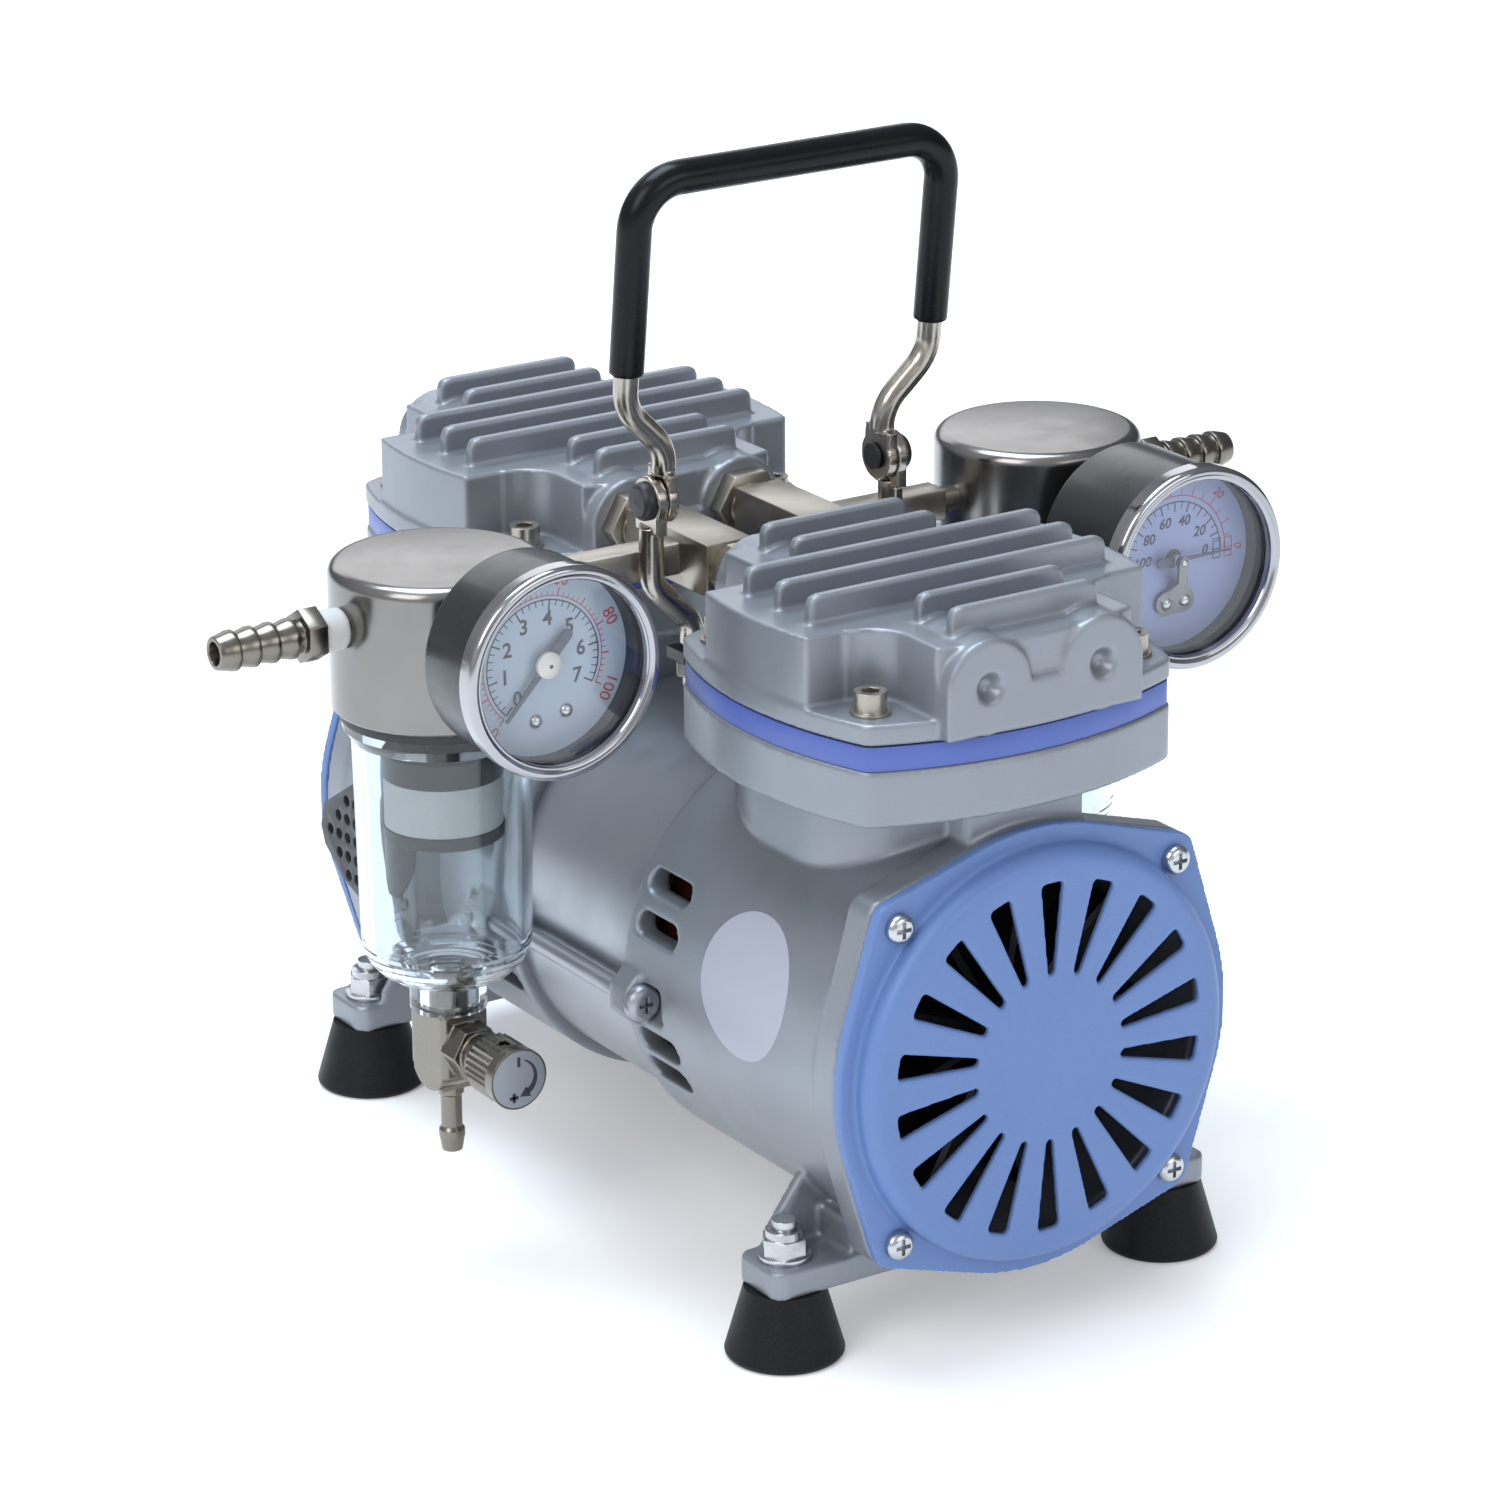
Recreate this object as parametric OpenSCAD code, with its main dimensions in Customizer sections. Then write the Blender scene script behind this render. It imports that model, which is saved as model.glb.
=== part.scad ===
// Twin-head oil-free laboratory vacuum and pressure pump
// Millimetres, +Z up, front towards -Y, origin on the floor midway between the feet

/* [Motor and housings] */
// Height of the shaft axis above the floor
shaft_h = 73.8; // [70:0.2:80]
// Distance between the two cylinder axes, along the shaft
head_pitch = 156; // [152:1:164]
// Outer radius of the two end housings
housing_r = 56; // [55:0.5:58]
// Wall of the end housings
housing_wall = 6; // [5:0.5:7]
// Distance from the middle of the pump to the seat of a fan cover
cover_seat = 122; // [120:0.5:126]
// Half the length of the stator between the housings
stator_half = 28; // [26:0.5:30]
// Outer radius of the sheet band round the stator
band_r = 53; // [52:0.5:53.5]
// Sheet thickness of the stator band
band_t = 1; // [0.8:0.1:1.5]
// Radius of the bore in the stator
stator_bore_r = 28.5; // [26:0.5:30]
// Air gap between the rotor and the stator
air_gap = 0.5; // [0.4:0.1:1]
// Distance from the shaft axis to a tie bolt
tie_r = 56.6; // [56.4:0.1:57.5]
// Drop of the tie bolts below the shaft axis
tie_drop = 4.5; // [0:0.5:6]
// Diameter of a tie bolt
tie_d = 5; // [4:0.5:5.5]
// Length of a cooling slot in the side of a housing
side_slot_l = 18; // [14:1:20]
// Width of a cooling slot in the side of a housing
side_slot_w = 6; // [4:0.5:7]

/* [Shaft and crank] */
// Diameter of the motor shaft
shaft_d = 12; // [10:0.5:13]
// Throw of each eccentric, half of the piston stroke
crank_throw = 4; // [3:0.5:4.5]
// Diameter of an eccentric journal
journal_d = 25; // [24:0.5:27]
// Outer diameter of a crank bearing
rod_bearing_d = 42; // [40:1:44]
// Width of a crank bearing
rod_bearing_w = 10; // [8:1:12]
// Outer diameter of a main bearing
main_bearing_d = 32; // [30:1:34]
// Width of a main bearing
main_bearing_w = 10; // [8:1:11]
// Radial clearance of a running fit
running_gap = 0.03; // [0.02:0.01:0.06]
// Radius over the blades of a cooling fan
fan_r = 44; // [40:1:46]
// Number of blades of a cooling fan
fan_blades = 9; // [7:1:11]

/* [Cylinders and heads] */
// Bore diameter of a cylinder sleeve
bore_d = 50; // [46:1:52]
// Wall of a cylinder sleeve
sleeve_wall = 3; // [2:0.5:3.5]
// Radius of the round neck that carries a cylinder
neck_r = 37.5; // [36:0.5:39]
// Height of the underside of a cylinder flange
flange_z = 137; // [136:0.5:139]
// Thickness of a cylinder flange
flange_t = 14; // [12:0.5:15]
// Thickness of a valve plate
plate_t = 6; // [5:0.5:8]
// Thickness of a head gasket
gasket_t = 0.4; // [0.3:0.1:1]
// Height of the head rim above the gasket
rim_t = 5.2; // [4:0.2:7]
// Height of the head block above the gasket
block_h = 22.6; // [21:0.2:25]
// Height of the fins above the head block
fin_h = 7; // [5:0.5:9]
// Thickness of a fin
fin_t = 3; // [2:0.2:3.6]
// Distance between fins
fin_pitch = 13.2; // [12.6:0.2:13.6]
// Length of a long fin
fin_long = 86; // [80:1:88]
// Length of a short fin
fin_short = 42; // [36:1:48]
// Half width of a head across the middle of its sides
head_hx = 52; // [51:0.5:54]
// Half length of a head along the shaft at the middle of its ends
head_hy = 49.5; // [49:0.5:51]
// Half distance of the head screws across the pump
screw_x = 38; // [37:0.5:38.5]
// Half distance of the head screws along the pump
screw_y = 32.2; // [31:0.2:33]
// Diameter of a head screw
head_screw_d = 4.8; // [4:0.2:5.2]
// Half distance between the two gas ports of a head
port_x = 16.3; // [15:0.1:18]
// Height of the gas ports
port_z = 169.5; // [168:0.5:171]
// Diameter of a gas port
port_d = 9; // [8:0.5:10]
// Radius of the boss round a gas port
boss_r = 11.8; // [11:0.2:12]

/* [Fan covers] */
// Radius of the flange of a fan cover
cover_r = 57; // [56.5:0.5:59]
// Half distance of the cover screws
cover_screw = 40.4; // [40:0.2:41.6]
// Thickness of the cover flange
cover_t = 3; // [2:0.5:4]
// How far the slotted face stands in front of the cover flange
cover_dish = 6.3; // [5:0.1:8]
// Number of slots in a fan cover
slot_count = 18; // [14:1:20]
// Radius at the outer end of a slot
slot_r_out = 44.7; // [42:0.1:45]
// Radius at the inner end of a slot
slot_r_in = 22.3; // [20:0.1:26]
// Width of a slot at its outer end
slot_w_out = 6.4; // [4:0.1:8]
// Width of a slot at its inner end
slot_w_in = 2.2; // [1.6:0.1:3]

/* [Feet] */
// Half distance of the feet across the pump
foot_x = 56.7; // [54:0.5:60]
// Half distance of the feet along the pump
foot_y = 100.9; // [98:0.5:103]
// Height of a rubber foot
foot_h = 18; // [15:0.5:22]
// Radius of a rubber foot on the floor
foot_r = 14.7; // [13:0.1:17]
// Radius of a rubber foot at its top
foot_top_r = 10; // [9:0.1:11]
// Thickness of the foot bar
foot_bar_t = 7; // [6:0.5:9]
// Width of the foot bar
foot_bar_w = 18; // [17:0.5:20]
// Diameter of a foot stud
stud_d = 6; // [5:0.5:6.5]

/* [Handle] */
// Half distance between the two legs of the grip
grip_x = 45; // [42:0.2:50]
// Offset of the handle to the right of the middle
handle_off = 2; // [0:0.5:3]
// Distance from the handle pivot to the middle of the top bar
handle_reach = 84; // [78:1:95]
// Diameter of the handle rod
rod_d = 6.3; // [5:0.1:7]
// Diameter of the grip sleeve
grip_d = 8.7; // [8.2:0.1:12]
// Length of the bare rod between the pivot and the grip
bare_rod = 35; // [34:0.5:38]
// Lean of the handle towards the front at rest, in degrees
handle_lean = 7; // [0:1:10]
// Height of the handle pivot
pivot_z = 187.8; // [187:0.2:191]
// How far the handle pivot lies in front of the middle
pivot_y = -8.3; // [-10:0.1:-6]
// Distance from the middle of the handle to the face between a handle eye and its link
eye_x = 34.4; // [33:0.2:36]
// Thickness of a flattened eye
eye_t = 2.9; // [2.4:0.1:3.4]
// Radius of a flattened eye
eye_r = 6.2; // [5.4:0.1:6.4]
// Diameter of a handle rivet
rivet_d = 5; // [4:0.5:6]

/* [Manifolds] */
// Side of the square manifold bars
bar_w = 13.5; // [12:0.5:14]
// Rear end of the manifold bars
bar_rear = 20.5; // [19:0.5:22]
// Front end of the manifold bars
bar_front = -17; // [-19:0.5:-15]
// Side of the square branch bars
branch_w = 8; // [7:0.5:9]
// Width across the flats of a port adapter
adapter_af = 17; // [15:0.5:18]

/* [Moisture traps] */
// Distance of a trap axis from the middle
trap_x = 90; // [88:0.5:94]
// Radius of a trap cap
cap_r = 27.8; // [27:0.2:29]
// Height of the underside of a trap cap
cap_z = 144; // [142:0.5:146]
// Height of a trap cap
cap_h = 40; // [39:0.5:42]
// Radius of the bowl under its collar
bowl_r = 22.3; // [21.5:0.1:23]
// Wall of a bowl
bowl_wall = 2.4; // [2:0.1:3]
// Length of the visible bowl from the cap to its neck
bowl_l = 72; // [70:0.5:73]
// Radius of the bowl neck
neck_bowl_r = 9.7; // [9:0.1:11]
// Radius of a filter element
filter_r = 15; // [12:0.5:16]
// Height of the white part of a filter element
filter_h = 12.4; // [10:0.2:15]
// Outer diameter of a hose barb
barb_d = 10.2; // [9:0.1:12]
// Length of a hose barb beyond its hexagon
barb_l = 23; // [20:0.5:26]
// Height of the hose barbs
barb_z = 168; // [166:0.5:170]
// Outer diameter of a drain barb
drain_d = 6.6; // [5:0.1:8]
// Length of a drain barb
drain_l = 17.5; // [14:0.5:18]

/* [Drain valves] */
// Width of a valve block across the pump
valve_w = 13.2; // [12:0.2:14]
// Depth of a valve block along the pump
valve_d = 16.8; // [15:0.2:18]
// Height of a valve block
valve_h = 21.6; // [20:0.2:22]
// Height of the valve spindle above the foot of the block
spindle_up = 13; // [11:0.5:13]
// Diameter of a valve spindle
spindle_d = 4.8; // [4:0.1:5]
// Diameter of a valve knob
knob_d = 15.8; // [14:0.2:18]
// Length of a valve knob
knob_l = 15; // [12:0.5:16]
// Depth of the knurls on a valve knob
knurl = 0.5; // [0.3:0.1:0.8]
// Travel that stays free between a knob and its bonnet
knob_gap = 1.2; // [0.8:0.1:2]

/* [Gauges] */
// Radius of a gauge bezel
bezel_r = 26.5; // [26:0.1:28]
// Depth of a gauge bezel
bezel_t = 7; // [6:0.5:8]
// Radius of a gauge case
case_r = 25; // [24.5:0.1:25.5]
// Distance from the middle to the back of the pressure gauge
pressure_back = 39; // [37:0.5:40]
// Distance from the middle to the back of the vacuum gauge
vacuum_back = 42; // [40:0.5:45]
// Distance from the middle to the face of the pressure gauge
pressure_face = 57; // [56:0.5:60]
// Distance from the middle to the face of the vacuum gauge
vacuum_face = 66; // [64:0.5:68]
// Height of the middle of the pressure gauge
pressure_z = 168; // [166:0.5:169]
// Height of the middle of the vacuum gauge
vacuum_z = 163.5; // [163:0.5:168]
// Angle of the pressure pointer at zero, anticlockwise from the right
pressure_zero = 228; // [215:1:240]
// Length of a gauge pointer from its hub
pointer_l = 17; // [14:0.5:18]

/* [Electrical box] */
// How far the outer wall of the electrical box stands out beyond the housings
box_x = 10; // [9:0.5:13]
// Wall of the electrical box
box_wall = 1.8; // [1.5:0.1:2.4]
// Diameter of the holes in the electrical box
vent_d = 3.2; // [2.4:0.2:3.6]
// Length of the terminal block in the electrical box
terminal_l = 20; // [14:1:22]
// Diameter of the cable grommet
grommet_d = 9; // [8:0.5:9.5]
// Length of the power rocker
rocker_l = 13; // [11:0.5:14]
// Width of the power rocker
rocker_w = 7; // [6:0.5:7.5]

/* [Hidden] */
$fn = 48;

silver = [0.64, 0.66, 0.69];
blue = [0.43, 0.55, 0.79];
deep_blue = [0.36, 0.44, 0.76];
nickel = [0.66, 0.62, 0.54];
steel = [0.72, 0.73, 0.75];
black = [0.09, 0.09, 0.1];
copper = [0.62, 0.3, 0.16];

head_y = head_pitch / 2;
joint_gap = 0.3;
seam = 0.03;
fit_gap = 0.1;
recess_r = housing_r - housing_wall;
web_in = stator_half + 18;
web_t = 6;
winding_l = 13;
winding_r = recess_r - 3.5;
lug_l = 8.5;
reed_x = 6;
reed_w = 10;
reed_l = 26;
reed_y = -12;
cover_head_d = 7.4;
cover_screw_l = 10;
nut_flange_r = 6.6;
stud_seat = 5;
ear_r = 5;
ear_c = cover_screw + 1.2;
plate_z = flange_z + flange_t;
gasket_z = plate_z + plate_t;
head_z = gasket_z + gasket_t;
rim_z = head_z + rim_t;
block_z = head_z + block_h;
fin_z = block_z + fin_h;
bar_z = foot_h;
bar_top = foot_h + foot_bar_t;
bore_r = bore_d / 2;
sleeve_r = bore_r + sleeve_wall;
sleeve_bottom = plate_z - 31;
sleeve_lip = 3;
lip_r = sleeve_r + 3;
journal_r = journal_d / 2;
piston_top = plate_z - 0.6;
piston_r = bore_r - crank_throw - 0.4;
head_socket_z = rim_z + 0.8;
cap_top = cap_z + cap_h;
bowl_collar_r = 24.4;
collar_z = cap_z + 6;
neck_z = cap_z - bowl_l;
valve_top = neck_z - 8;
valve_bottom = valve_top - valve_h;
spindle_z = valve_bottom + spindle_up;
bonnet_l = 9;
bonnet_end = valve_d / 2 + bonnet_l;
knob_back = bonnet_end + knob_gap;
knob_face = knob_back + knob_l;
filter_top = cap_z - 11;
dial_in = 8.5;
pin_r = rivet_d / 2;
rod_r = rod_d / 2;
grip_r = grip_d / 2;
box_rear = 108;
box_front = 63;
box_face_x = housing_r + box_x;
box_low = shaft_h - 16.4;
box_high = shaft_h + 16.4;
rocker_y = 76;
rocker_tilt = 9;
bend_r = 12;
link_bend_z = pivot_z - 18.8;

module along_y(y0, y1, r) {
  translate([0, y0, 0]) rotate([-90, 0, 0]) cylinder(h = y1 - y0, r = r);
}

module along_x(x0, x1, r) {
  translate([x0, 0, 0]) rotate([0, 90, 0]) cylinder(h = x1 - x0, r = r);
}

module ring_y(y0, y1, r_out, r_in) {
  difference() {
    along_y(y0, y1, r_out);
    along_y(y0 - 1, y1 + 1, r_in);
  }
}

module hexagon(af, h) {
  cylinder(h = h, r = af / 2 / cos(30), $fn = 6);
}

module both_sides() {
  children();
  mirror([1, 0, 0]) children();
}

module both_ends() {
  children();
  mirror([0, 1, 0]) children();
}

module at_corners(x, y) {
  for (sx = [-1, 1], sy = [-1, 1]) translate([sx * x, sy * y, 0]) children();
}

// Tube of radius r that runs straight up by l, then carries its children at its end
module straight(l, r) {
  cylinder(h = l, r = r);
  translate([0, 0, l]) children();
}

// Tube that turns by angle a towards +X, or towards -X when a is negative, a hair thinner than its straights
module turn(a, bend, r) {
  s = sign(a);
  translate([s * bend, 0, 0]) rotate([90, 0, 0]) rotate([0, 0, s > 0 ? 180 - a : 0])
    rotate_extrude(angle = abs(a)) translate([bend, 0]) circle(r - seam);
  translate([s * bend, 0, 0]) rotate([0, a, 0]) translate([-s * bend, 0, 0]) children();
}

// Points of an arc from angle a0 to a1
function arc(cx, cy, r, a0, a1, n = 8) =
  [for (i = [0 : n]) [cx + r * cos(a0 + (a1 - a0) * i / n), cy + r * sin(a0 + (a1 - a0) * i / n)]];

// Round flange with four screw ears, shared by the housings and the fan covers
module ear_outline(r) {
  reach = norm([ear_c, ear_c]);
  spread = acos((r - ear_r) / reach);
  circle(r, $fn = 96);
  for (i = [0 : 3]) rotate(90 * i + 45) {
    polygon([
      [0, 0],
      [r * cos(spread), -r * sin(spread)],
      [reach + ear_r * cos(spread), -ear_r * sin(spread)],
      [reach + ear_r * cos(spread), ear_r * sin(spread)],
      [r * cos(spread), r * sin(spread)]
    ]);
    translate([reach, 0]) circle(ear_r);
  }
}

// Four-arc outline of a cylinder flange and a head with rounded corners, drawn in by inset
module head_outline(inset = 0) {
  bulge = 105;
  corner = 5;
  ax = bulge - head_hx;
  ay = bulge - head_hy;
  reach = bulge - corner;
  span = norm([ax, ay]) / 2;
  rise = sqrt(reach * reach - span * span);
  cx = -ax / 2 + rise * ay / (2 * span);
  cy = -ay / 2 + rise * ax / (2 * span);
  grow = (corner - inset) / reach;
  tx = [cx + (cx + ax) * grow, cy + cy * grow];
  ty = [cx + cx * grow, cy + (cy + ay) * grow];
  difference() {
    intersection() {
      intersection_for(s = [-1, 1]) translate([s * ax, 0]) circle(bulge - inset, $fn = 160);
      intersection_for(s = [-1, 1]) translate([0, s * ay]) circle(bulge - inset, $fn = 160);
    }
    for (sx = [-1, 1], sy = [-1, 1]) scale([sx, sy])
      polygon([tx, [tx[0] + 20, tx[1]], [tx[0] + 20, ty[1] + 20], [ty[0], ty[1] + 20], ty]);
  }
  at_corners(cx, cy) circle(corner + 0.01 - inset);
}

// The stretched round neck between the motor body and a cylinder flange
module neck_outline(inset = 0) {
  inner = head_y - 14;
  translate([0, head_y]) circle(neck_r - inset, $fn = 96);
  translate([0, inner]) circle(neck_r - inset, $fn = 96);
  translate([-neck_r + inset, inner]) square([2 * (neck_r - inset), head_y - inner]);
}

// Flat bar that carries two feet, with the webs that join it to the body
module foot_bar() {
  round_r = 4;
  bar_x = foot_x + 8.3;
  translate([0, foot_y, bar_z]) linear_extrude(foot_bar_t) {
    square([2 * bar_x, foot_bar_w - 2 * round_r], center = true);
    square([2 * (bar_x - round_r), foot_bar_w], center = true);
    at_corners(bar_x - round_r, foot_bar_w / 2 - round_r) circle(round_r);
  }
  web_y = foot_y - foot_bar_w / 2;
  translate([0, web_y + 3.2, 0]) rotate([90, 0, 0]) linear_extrude(3.2)
    polygon([
      [-foot_x - 1, bar_z + 1], [foot_x + 1, bar_z + 1], [foot_x + 1, bar_top + 3], [44, shaft_h - 27],
      [-44, shaft_h - 27], [-foot_x - 1, bar_top + 3]
    ]);
  translate([-foot_x + 14, web_y, bar_z + 1]) cube([2 * foot_x - 28, foot_bar_w - 1, 14]);
}

// Cast lug for a tie bolt, drawn on the right
module tie_lug() {
  out = tie_r + 3.8;
  z0 = shaft_h - tie_drop;
  translate([0, stator_half + lug_l, 0]) rotate([90, 0, 0]) linear_extrude(lug_l)
    polygon([
      [48, z0 - 6.5], [out - 3.3, z0 - 6.5], [out, z0 - 3.5], [out, z0 + 3], [out - 7, z0 + 11], [48, z0 + 12.5]
    ]);
}

module side_slots() {
  for (z = [25.1, 14.8, -15.6, -24]) translate([0, stator_half + 12.5, shaft_h + z]) rotate([0, 90, 0])
    linear_extrude(2 * housing_r + 40, center = true) {
      square([side_slot_w, side_slot_l - side_slot_w], center = true);
      translate([0, (side_slot_l - side_slot_w) / 2]) circle(side_slot_w / 2);
      translate([0, -(side_slot_l - side_slot_w) / 2]) circle(side_slot_w / 2);
    }
}

// One cast end housing with its cylinder tower, drawn at the rear
module end_housing() {
  lip_depth = sleeve_lip;
  difference() {
    union() {
      translate([0, 0, shaft_h]) along_y(stator_half, cover_seat, housing_r, $fn = 120);
      translate([0, cover_seat - 9, shaft_h]) rotate([-90, 0, 0]) linear_extrude(9) ear_outline(cover_r - 0.4);
      translate([0, 0, shaft_h]) linear_extrude(flange_z - shaft_h + 1) neck_outline();
      translate([-17, head_y, shaft_h]) cube([34, cover_seat - head_y - 2, flange_z - shaft_h + 1]);
      translate([0, head_y, flange_z]) linear_extrude(flange_t) head_outline();
      foot_bar();
      both_sides() tie_lug();
    }
    translate([0, 0, shaft_h]) {
      along_y(stator_half - 1, web_in, recess_r, $fn = 120);
      along_y(web_in + web_t, cover_seat + 1, recess_r, $fn = 120);
      along_y(web_in - 1, web_in + web_t + 1, main_bearing_d / 2 + 2);
      for (i = [0 : 5]) rotate([0, 60 * i + 30, 0]) translate([34, 0, 0]) along_y(web_in - 1, web_in + web_t + 1, 9);
    }
    translate([-housing_r - 24, 0, 0]) cube([2 * housing_r + 48, stator_half, flange_z]);
    translate([0, head_y, sleeve_bottom - 20]) cylinder(h = 80, r = sleeve_r + fit_gap, $fn = 96);
    translate([0, head_y, plate_z - lip_depth]) cylinder(h = 9, r = lip_r + fit_gap, $fn = 96);
    translate([0, head_y, plate_z - 12]) at_corners(screw_x, screw_y)
      cylinder(h = 20, r = head_screw_d / 2 + 0.05);
    translate([0, cover_seat, shaft_h]) for (sx = [-1, 1], sz = [-1, 1])
      translate([sx * cover_screw, 0, sz * cover_screw]) along_y(-10, 1, 1.55);
    translate([0, foot_y, 0]) for (sx = [-1, 1]) translate([sx * foot_x, 0, bar_z - 1]) {
      cylinder(h = foot_bar_t + 12, r = stud_d / 2 + 0.25);
      translate([0, 0, foot_bar_t + 1]) cylinder(h = 12, r = nut_flange_r + 0.5);
    }
    both_sides() translate([tie_r, stator_half, shaft_h - tie_drop]) {
      along_y(-1, lug_l + 1, tie_d / 2 + 0.15);
      along_y(lug_l, lug_l + 8, 5.2);
    }
    side_slots();
  }
  difference() {
    translate([0, 0, shaft_h]) along_y(web_in - 5, web_in + web_t + 2, main_bearing_d / 2 + 5);
    translate([0, 0, shaft_h]) along_y(web_in - 3, web_in + web_t + 3, main_bearing_d / 2);
    translate([0, 0, shaft_h]) along_y(web_in - 6, web_in + 3, shaft_d / 2 + 3);
  }
}

module front_housing() {
  color(silver) mirror([0, 1, 0]) end_housing();
}

module rear_housing() {
  color(silver) end_housing();
}

module stator_core() {
  color("dimgray") translate([0, 0, shaft_h]) ring_y(-stator_half, stator_half, band_r - band_t - 0.05, stator_bore_r);
}

module stator_windings() {
  color(copper) translate([0, 0, shaft_h]) both_ends() translate([0, stator_half, 0]) rotate([-90, 0, 0])
    rotate_extrude() translate([stator_bore_r + 2, 0]) square([winding_r - stator_bore_r - 2, winding_l - 3]);
}

module stator_band() {
  color([0.75, 0.76, 0.78]) translate([0, 0, shaft_h]) difference() {
    along_y(-stator_half, stator_half, band_r, $fn = 120);
    along_y(-stator_half - 1, stator_half + 1, band_r - band_t, $fn = 120);
  }
}

module cross_recess(depth) {
  for (a = [0, 90]) rotate(a) translate([-2.1, -0.5, -depth]) cube([4.2, 1, depth + 1]);
}

// Pan head at the origin facing up, with its shank below
module pan_screw(d, head_d, head_h, l) {
  difference() {
    rotate_extrude() polygon(concat(
      [[0, -0.0], [head_d / 2, 0]],
      [[head_d / 2, head_h * 0.35]],
      arc(head_d / 2 - head_h * 0.65, head_h * 0.35, head_h * 0.65, 0, 90, 5),
      [[0, head_h]]
    ));
    translate([0, 0, head_h]) cross_recess(head_h * 0.6);
  }
  translate([0, 0, -l]) cylinder(h = l + 0.01, r = d / 2);
}

module tie_bolts() {
  color(steel) both_sides() translate([tie_r, 0, shaft_h - tie_drop]) {
    translate([0, -stator_half - lug_l, 0]) rotate([90, 0, 0])
      pan_screw(tie_d, 9.5, 3.4, 2 * (stator_half + lug_l) + 6);
    translate([0, stator_half + lug_l, 0]) rotate([-90, 0, 0]) difference() {
      hexagon(8, 4);
      translate([0, 0, -1]) cylinder(h = 6, r = tie_d / 2);
    }
  }
}

module main_bearings() {
  color(steel) translate([0, 0, shaft_h]) both_ends()
    ring_y(web_in + web_t + 1 - main_bearing_w, web_in + web_t + 1, main_bearing_d / 2, shaft_d / 2 + running_gap);
}

module cover_slot() {
  round_r = 1.1;
  linear_extrude(60, center = true) {
    polygon([
      [slot_r_in, -slot_w_in / 2], [slot_r_out - round_r, -slot_w_out / 2],
      [slot_r_out, -slot_w_out / 2 + round_r], [slot_r_out, slot_w_out / 2 - round_r],
      [slot_r_out - round_r, slot_w_out / 2], [slot_r_in, slot_w_in / 2]
    ]);
    translate([slot_r_out - round_r, slot_w_out / 2 - round_r]) circle(round_r);
    translate([slot_r_out - round_r, -slot_w_out / 2 + round_r]) circle(round_r);
    translate([slot_r_in, 0]) circle(slot_w_in / 2);
  }
}

// Fan cover with its flange down at z = 0 and its slotted face up
module fan_cover() {
  skin = 2;
  face = cover_t + cover_dish - 3;
  step_r = 52.5;
  shoulder = 4;
  difference() {
    union() {
      linear_extrude(cover_t) ear_outline(cover_r);
      rotate_extrude($fn = 120) polygon(concat(
        [[0, 0], [step_r, 0], [step_r, cover_t]],
        arc(step_r - shoulder, face + 3 - shoulder, shoulder, 0, 90, 6),
        [[0, face + 3]]
      ));
    }
    translate([0, 0, -1]) rotate_extrude($fn = 120) polygon(concat(
      [[0, 0], [step_r - skin, 0]],
      arc(step_r - shoulder, face + 4 - shoulder, shoulder - skin, 0, 90, 6),
      [[0, face + 4 - skin]]
    ));
    for (i = [0 : slot_count - 1]) rotate(90 + 360 / slot_count * i) cover_slot();
    at_corners(cover_screw, cover_screw) translate([0, 0, -1]) cylinder(h = 20, r = 1.9);
    at_corners(cover_screw, cover_screw) translate([0, 0, cover_t]) cylinder(h = 20, r = 4.6);
  }
}

module front_fan_cover() {
  color(blue) translate([0, -cover_seat, shaft_h]) rotate([90, 0, 0]) fan_cover();
}

module rear_fan_cover() {
  color(blue) translate([0, cover_seat, shaft_h]) rotate([-90, 0, 0]) fan_cover();
}

module cover_screws() {
  color(steel) both_ends() for (sx = [-1, 1], sz = [-1, 1])
    translate([sx * cover_screw, cover_seat + cover_t, shaft_h + sz * cover_screw]) rotate([-90, 0, 0])
      pan_screw(3, cover_head_d, 2.8, cover_screw_l);
}

module cylinder_sleeves() {
  color([0.78, 0.78, 0.8]) both_ends() translate([0, head_y, 0]) rotate_extrude($fn = 96) polygon([
    [bore_r, sleeve_bottom], [sleeve_r, sleeve_bottom], [sleeve_r, plate_z - sleeve_lip],
    [lip_r, plate_z - sleeve_lip], [lip_r, plate_z], [bore_r, plate_z]
  ]);
}

// Valve plate with its intake pocket on the underside and gas holes on both sides
module valve_plate() {
  difference() {
    linear_extrude(plate_t) head_outline(0.5);
    at_corners(screw_x, screw_y) translate([0, 0, -1]) cylinder(h = plate_t + 2, r = head_screw_d / 2 + 0.2);
    translate([4, -14, -1]) cube([14, 30, 2.6]);
    for (y = [-6, 6]) translate([11, y, -1]) cylinder(h = plate_t + 2, r = 3);
    for (y = [-6, 6]) translate([-11, y, -1]) cylinder(h = plate_t + 2, r = 3);
  }
}

module valve_plates() {
  color(deep_blue) both_ends() translate([0, head_y, plate_z]) valve_plate();
}

module reed_valves() {
  reed_t = 0.3;
  color(steel) both_ends() translate([0, head_y, plate_z]) {
    translate([reed_x, reed_y, 1.6 - reed_t]) cube([reed_w, reed_l, reed_t]);
    translate([-reed_x - reed_w, reed_y, plate_t]) cube([reed_w, reed_l, reed_t]);
    translate([-reed_x - reed_w, reed_y, plate_t + reed_t]) difference() {
      cube([reed_w, reed_l, 2.6]);
      translate([-1, 5, -0.1]) cube([reed_w + 2, reed_l - 4, 1.3]);
    }
  }
}

module head_gaskets() {
  color(black) both_ends() translate([0, head_y, gasket_z]) linear_extrude(gasket_t) difference() {
    head_outline(1.2);
    at_corners(screw_x, screw_y) circle(head_screw_d / 2 + 0.3);
    translate([2.5, -19]) square([23, 38]);
    translate([-25.5, -19]) square([23, 38]);
  }
}

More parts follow.
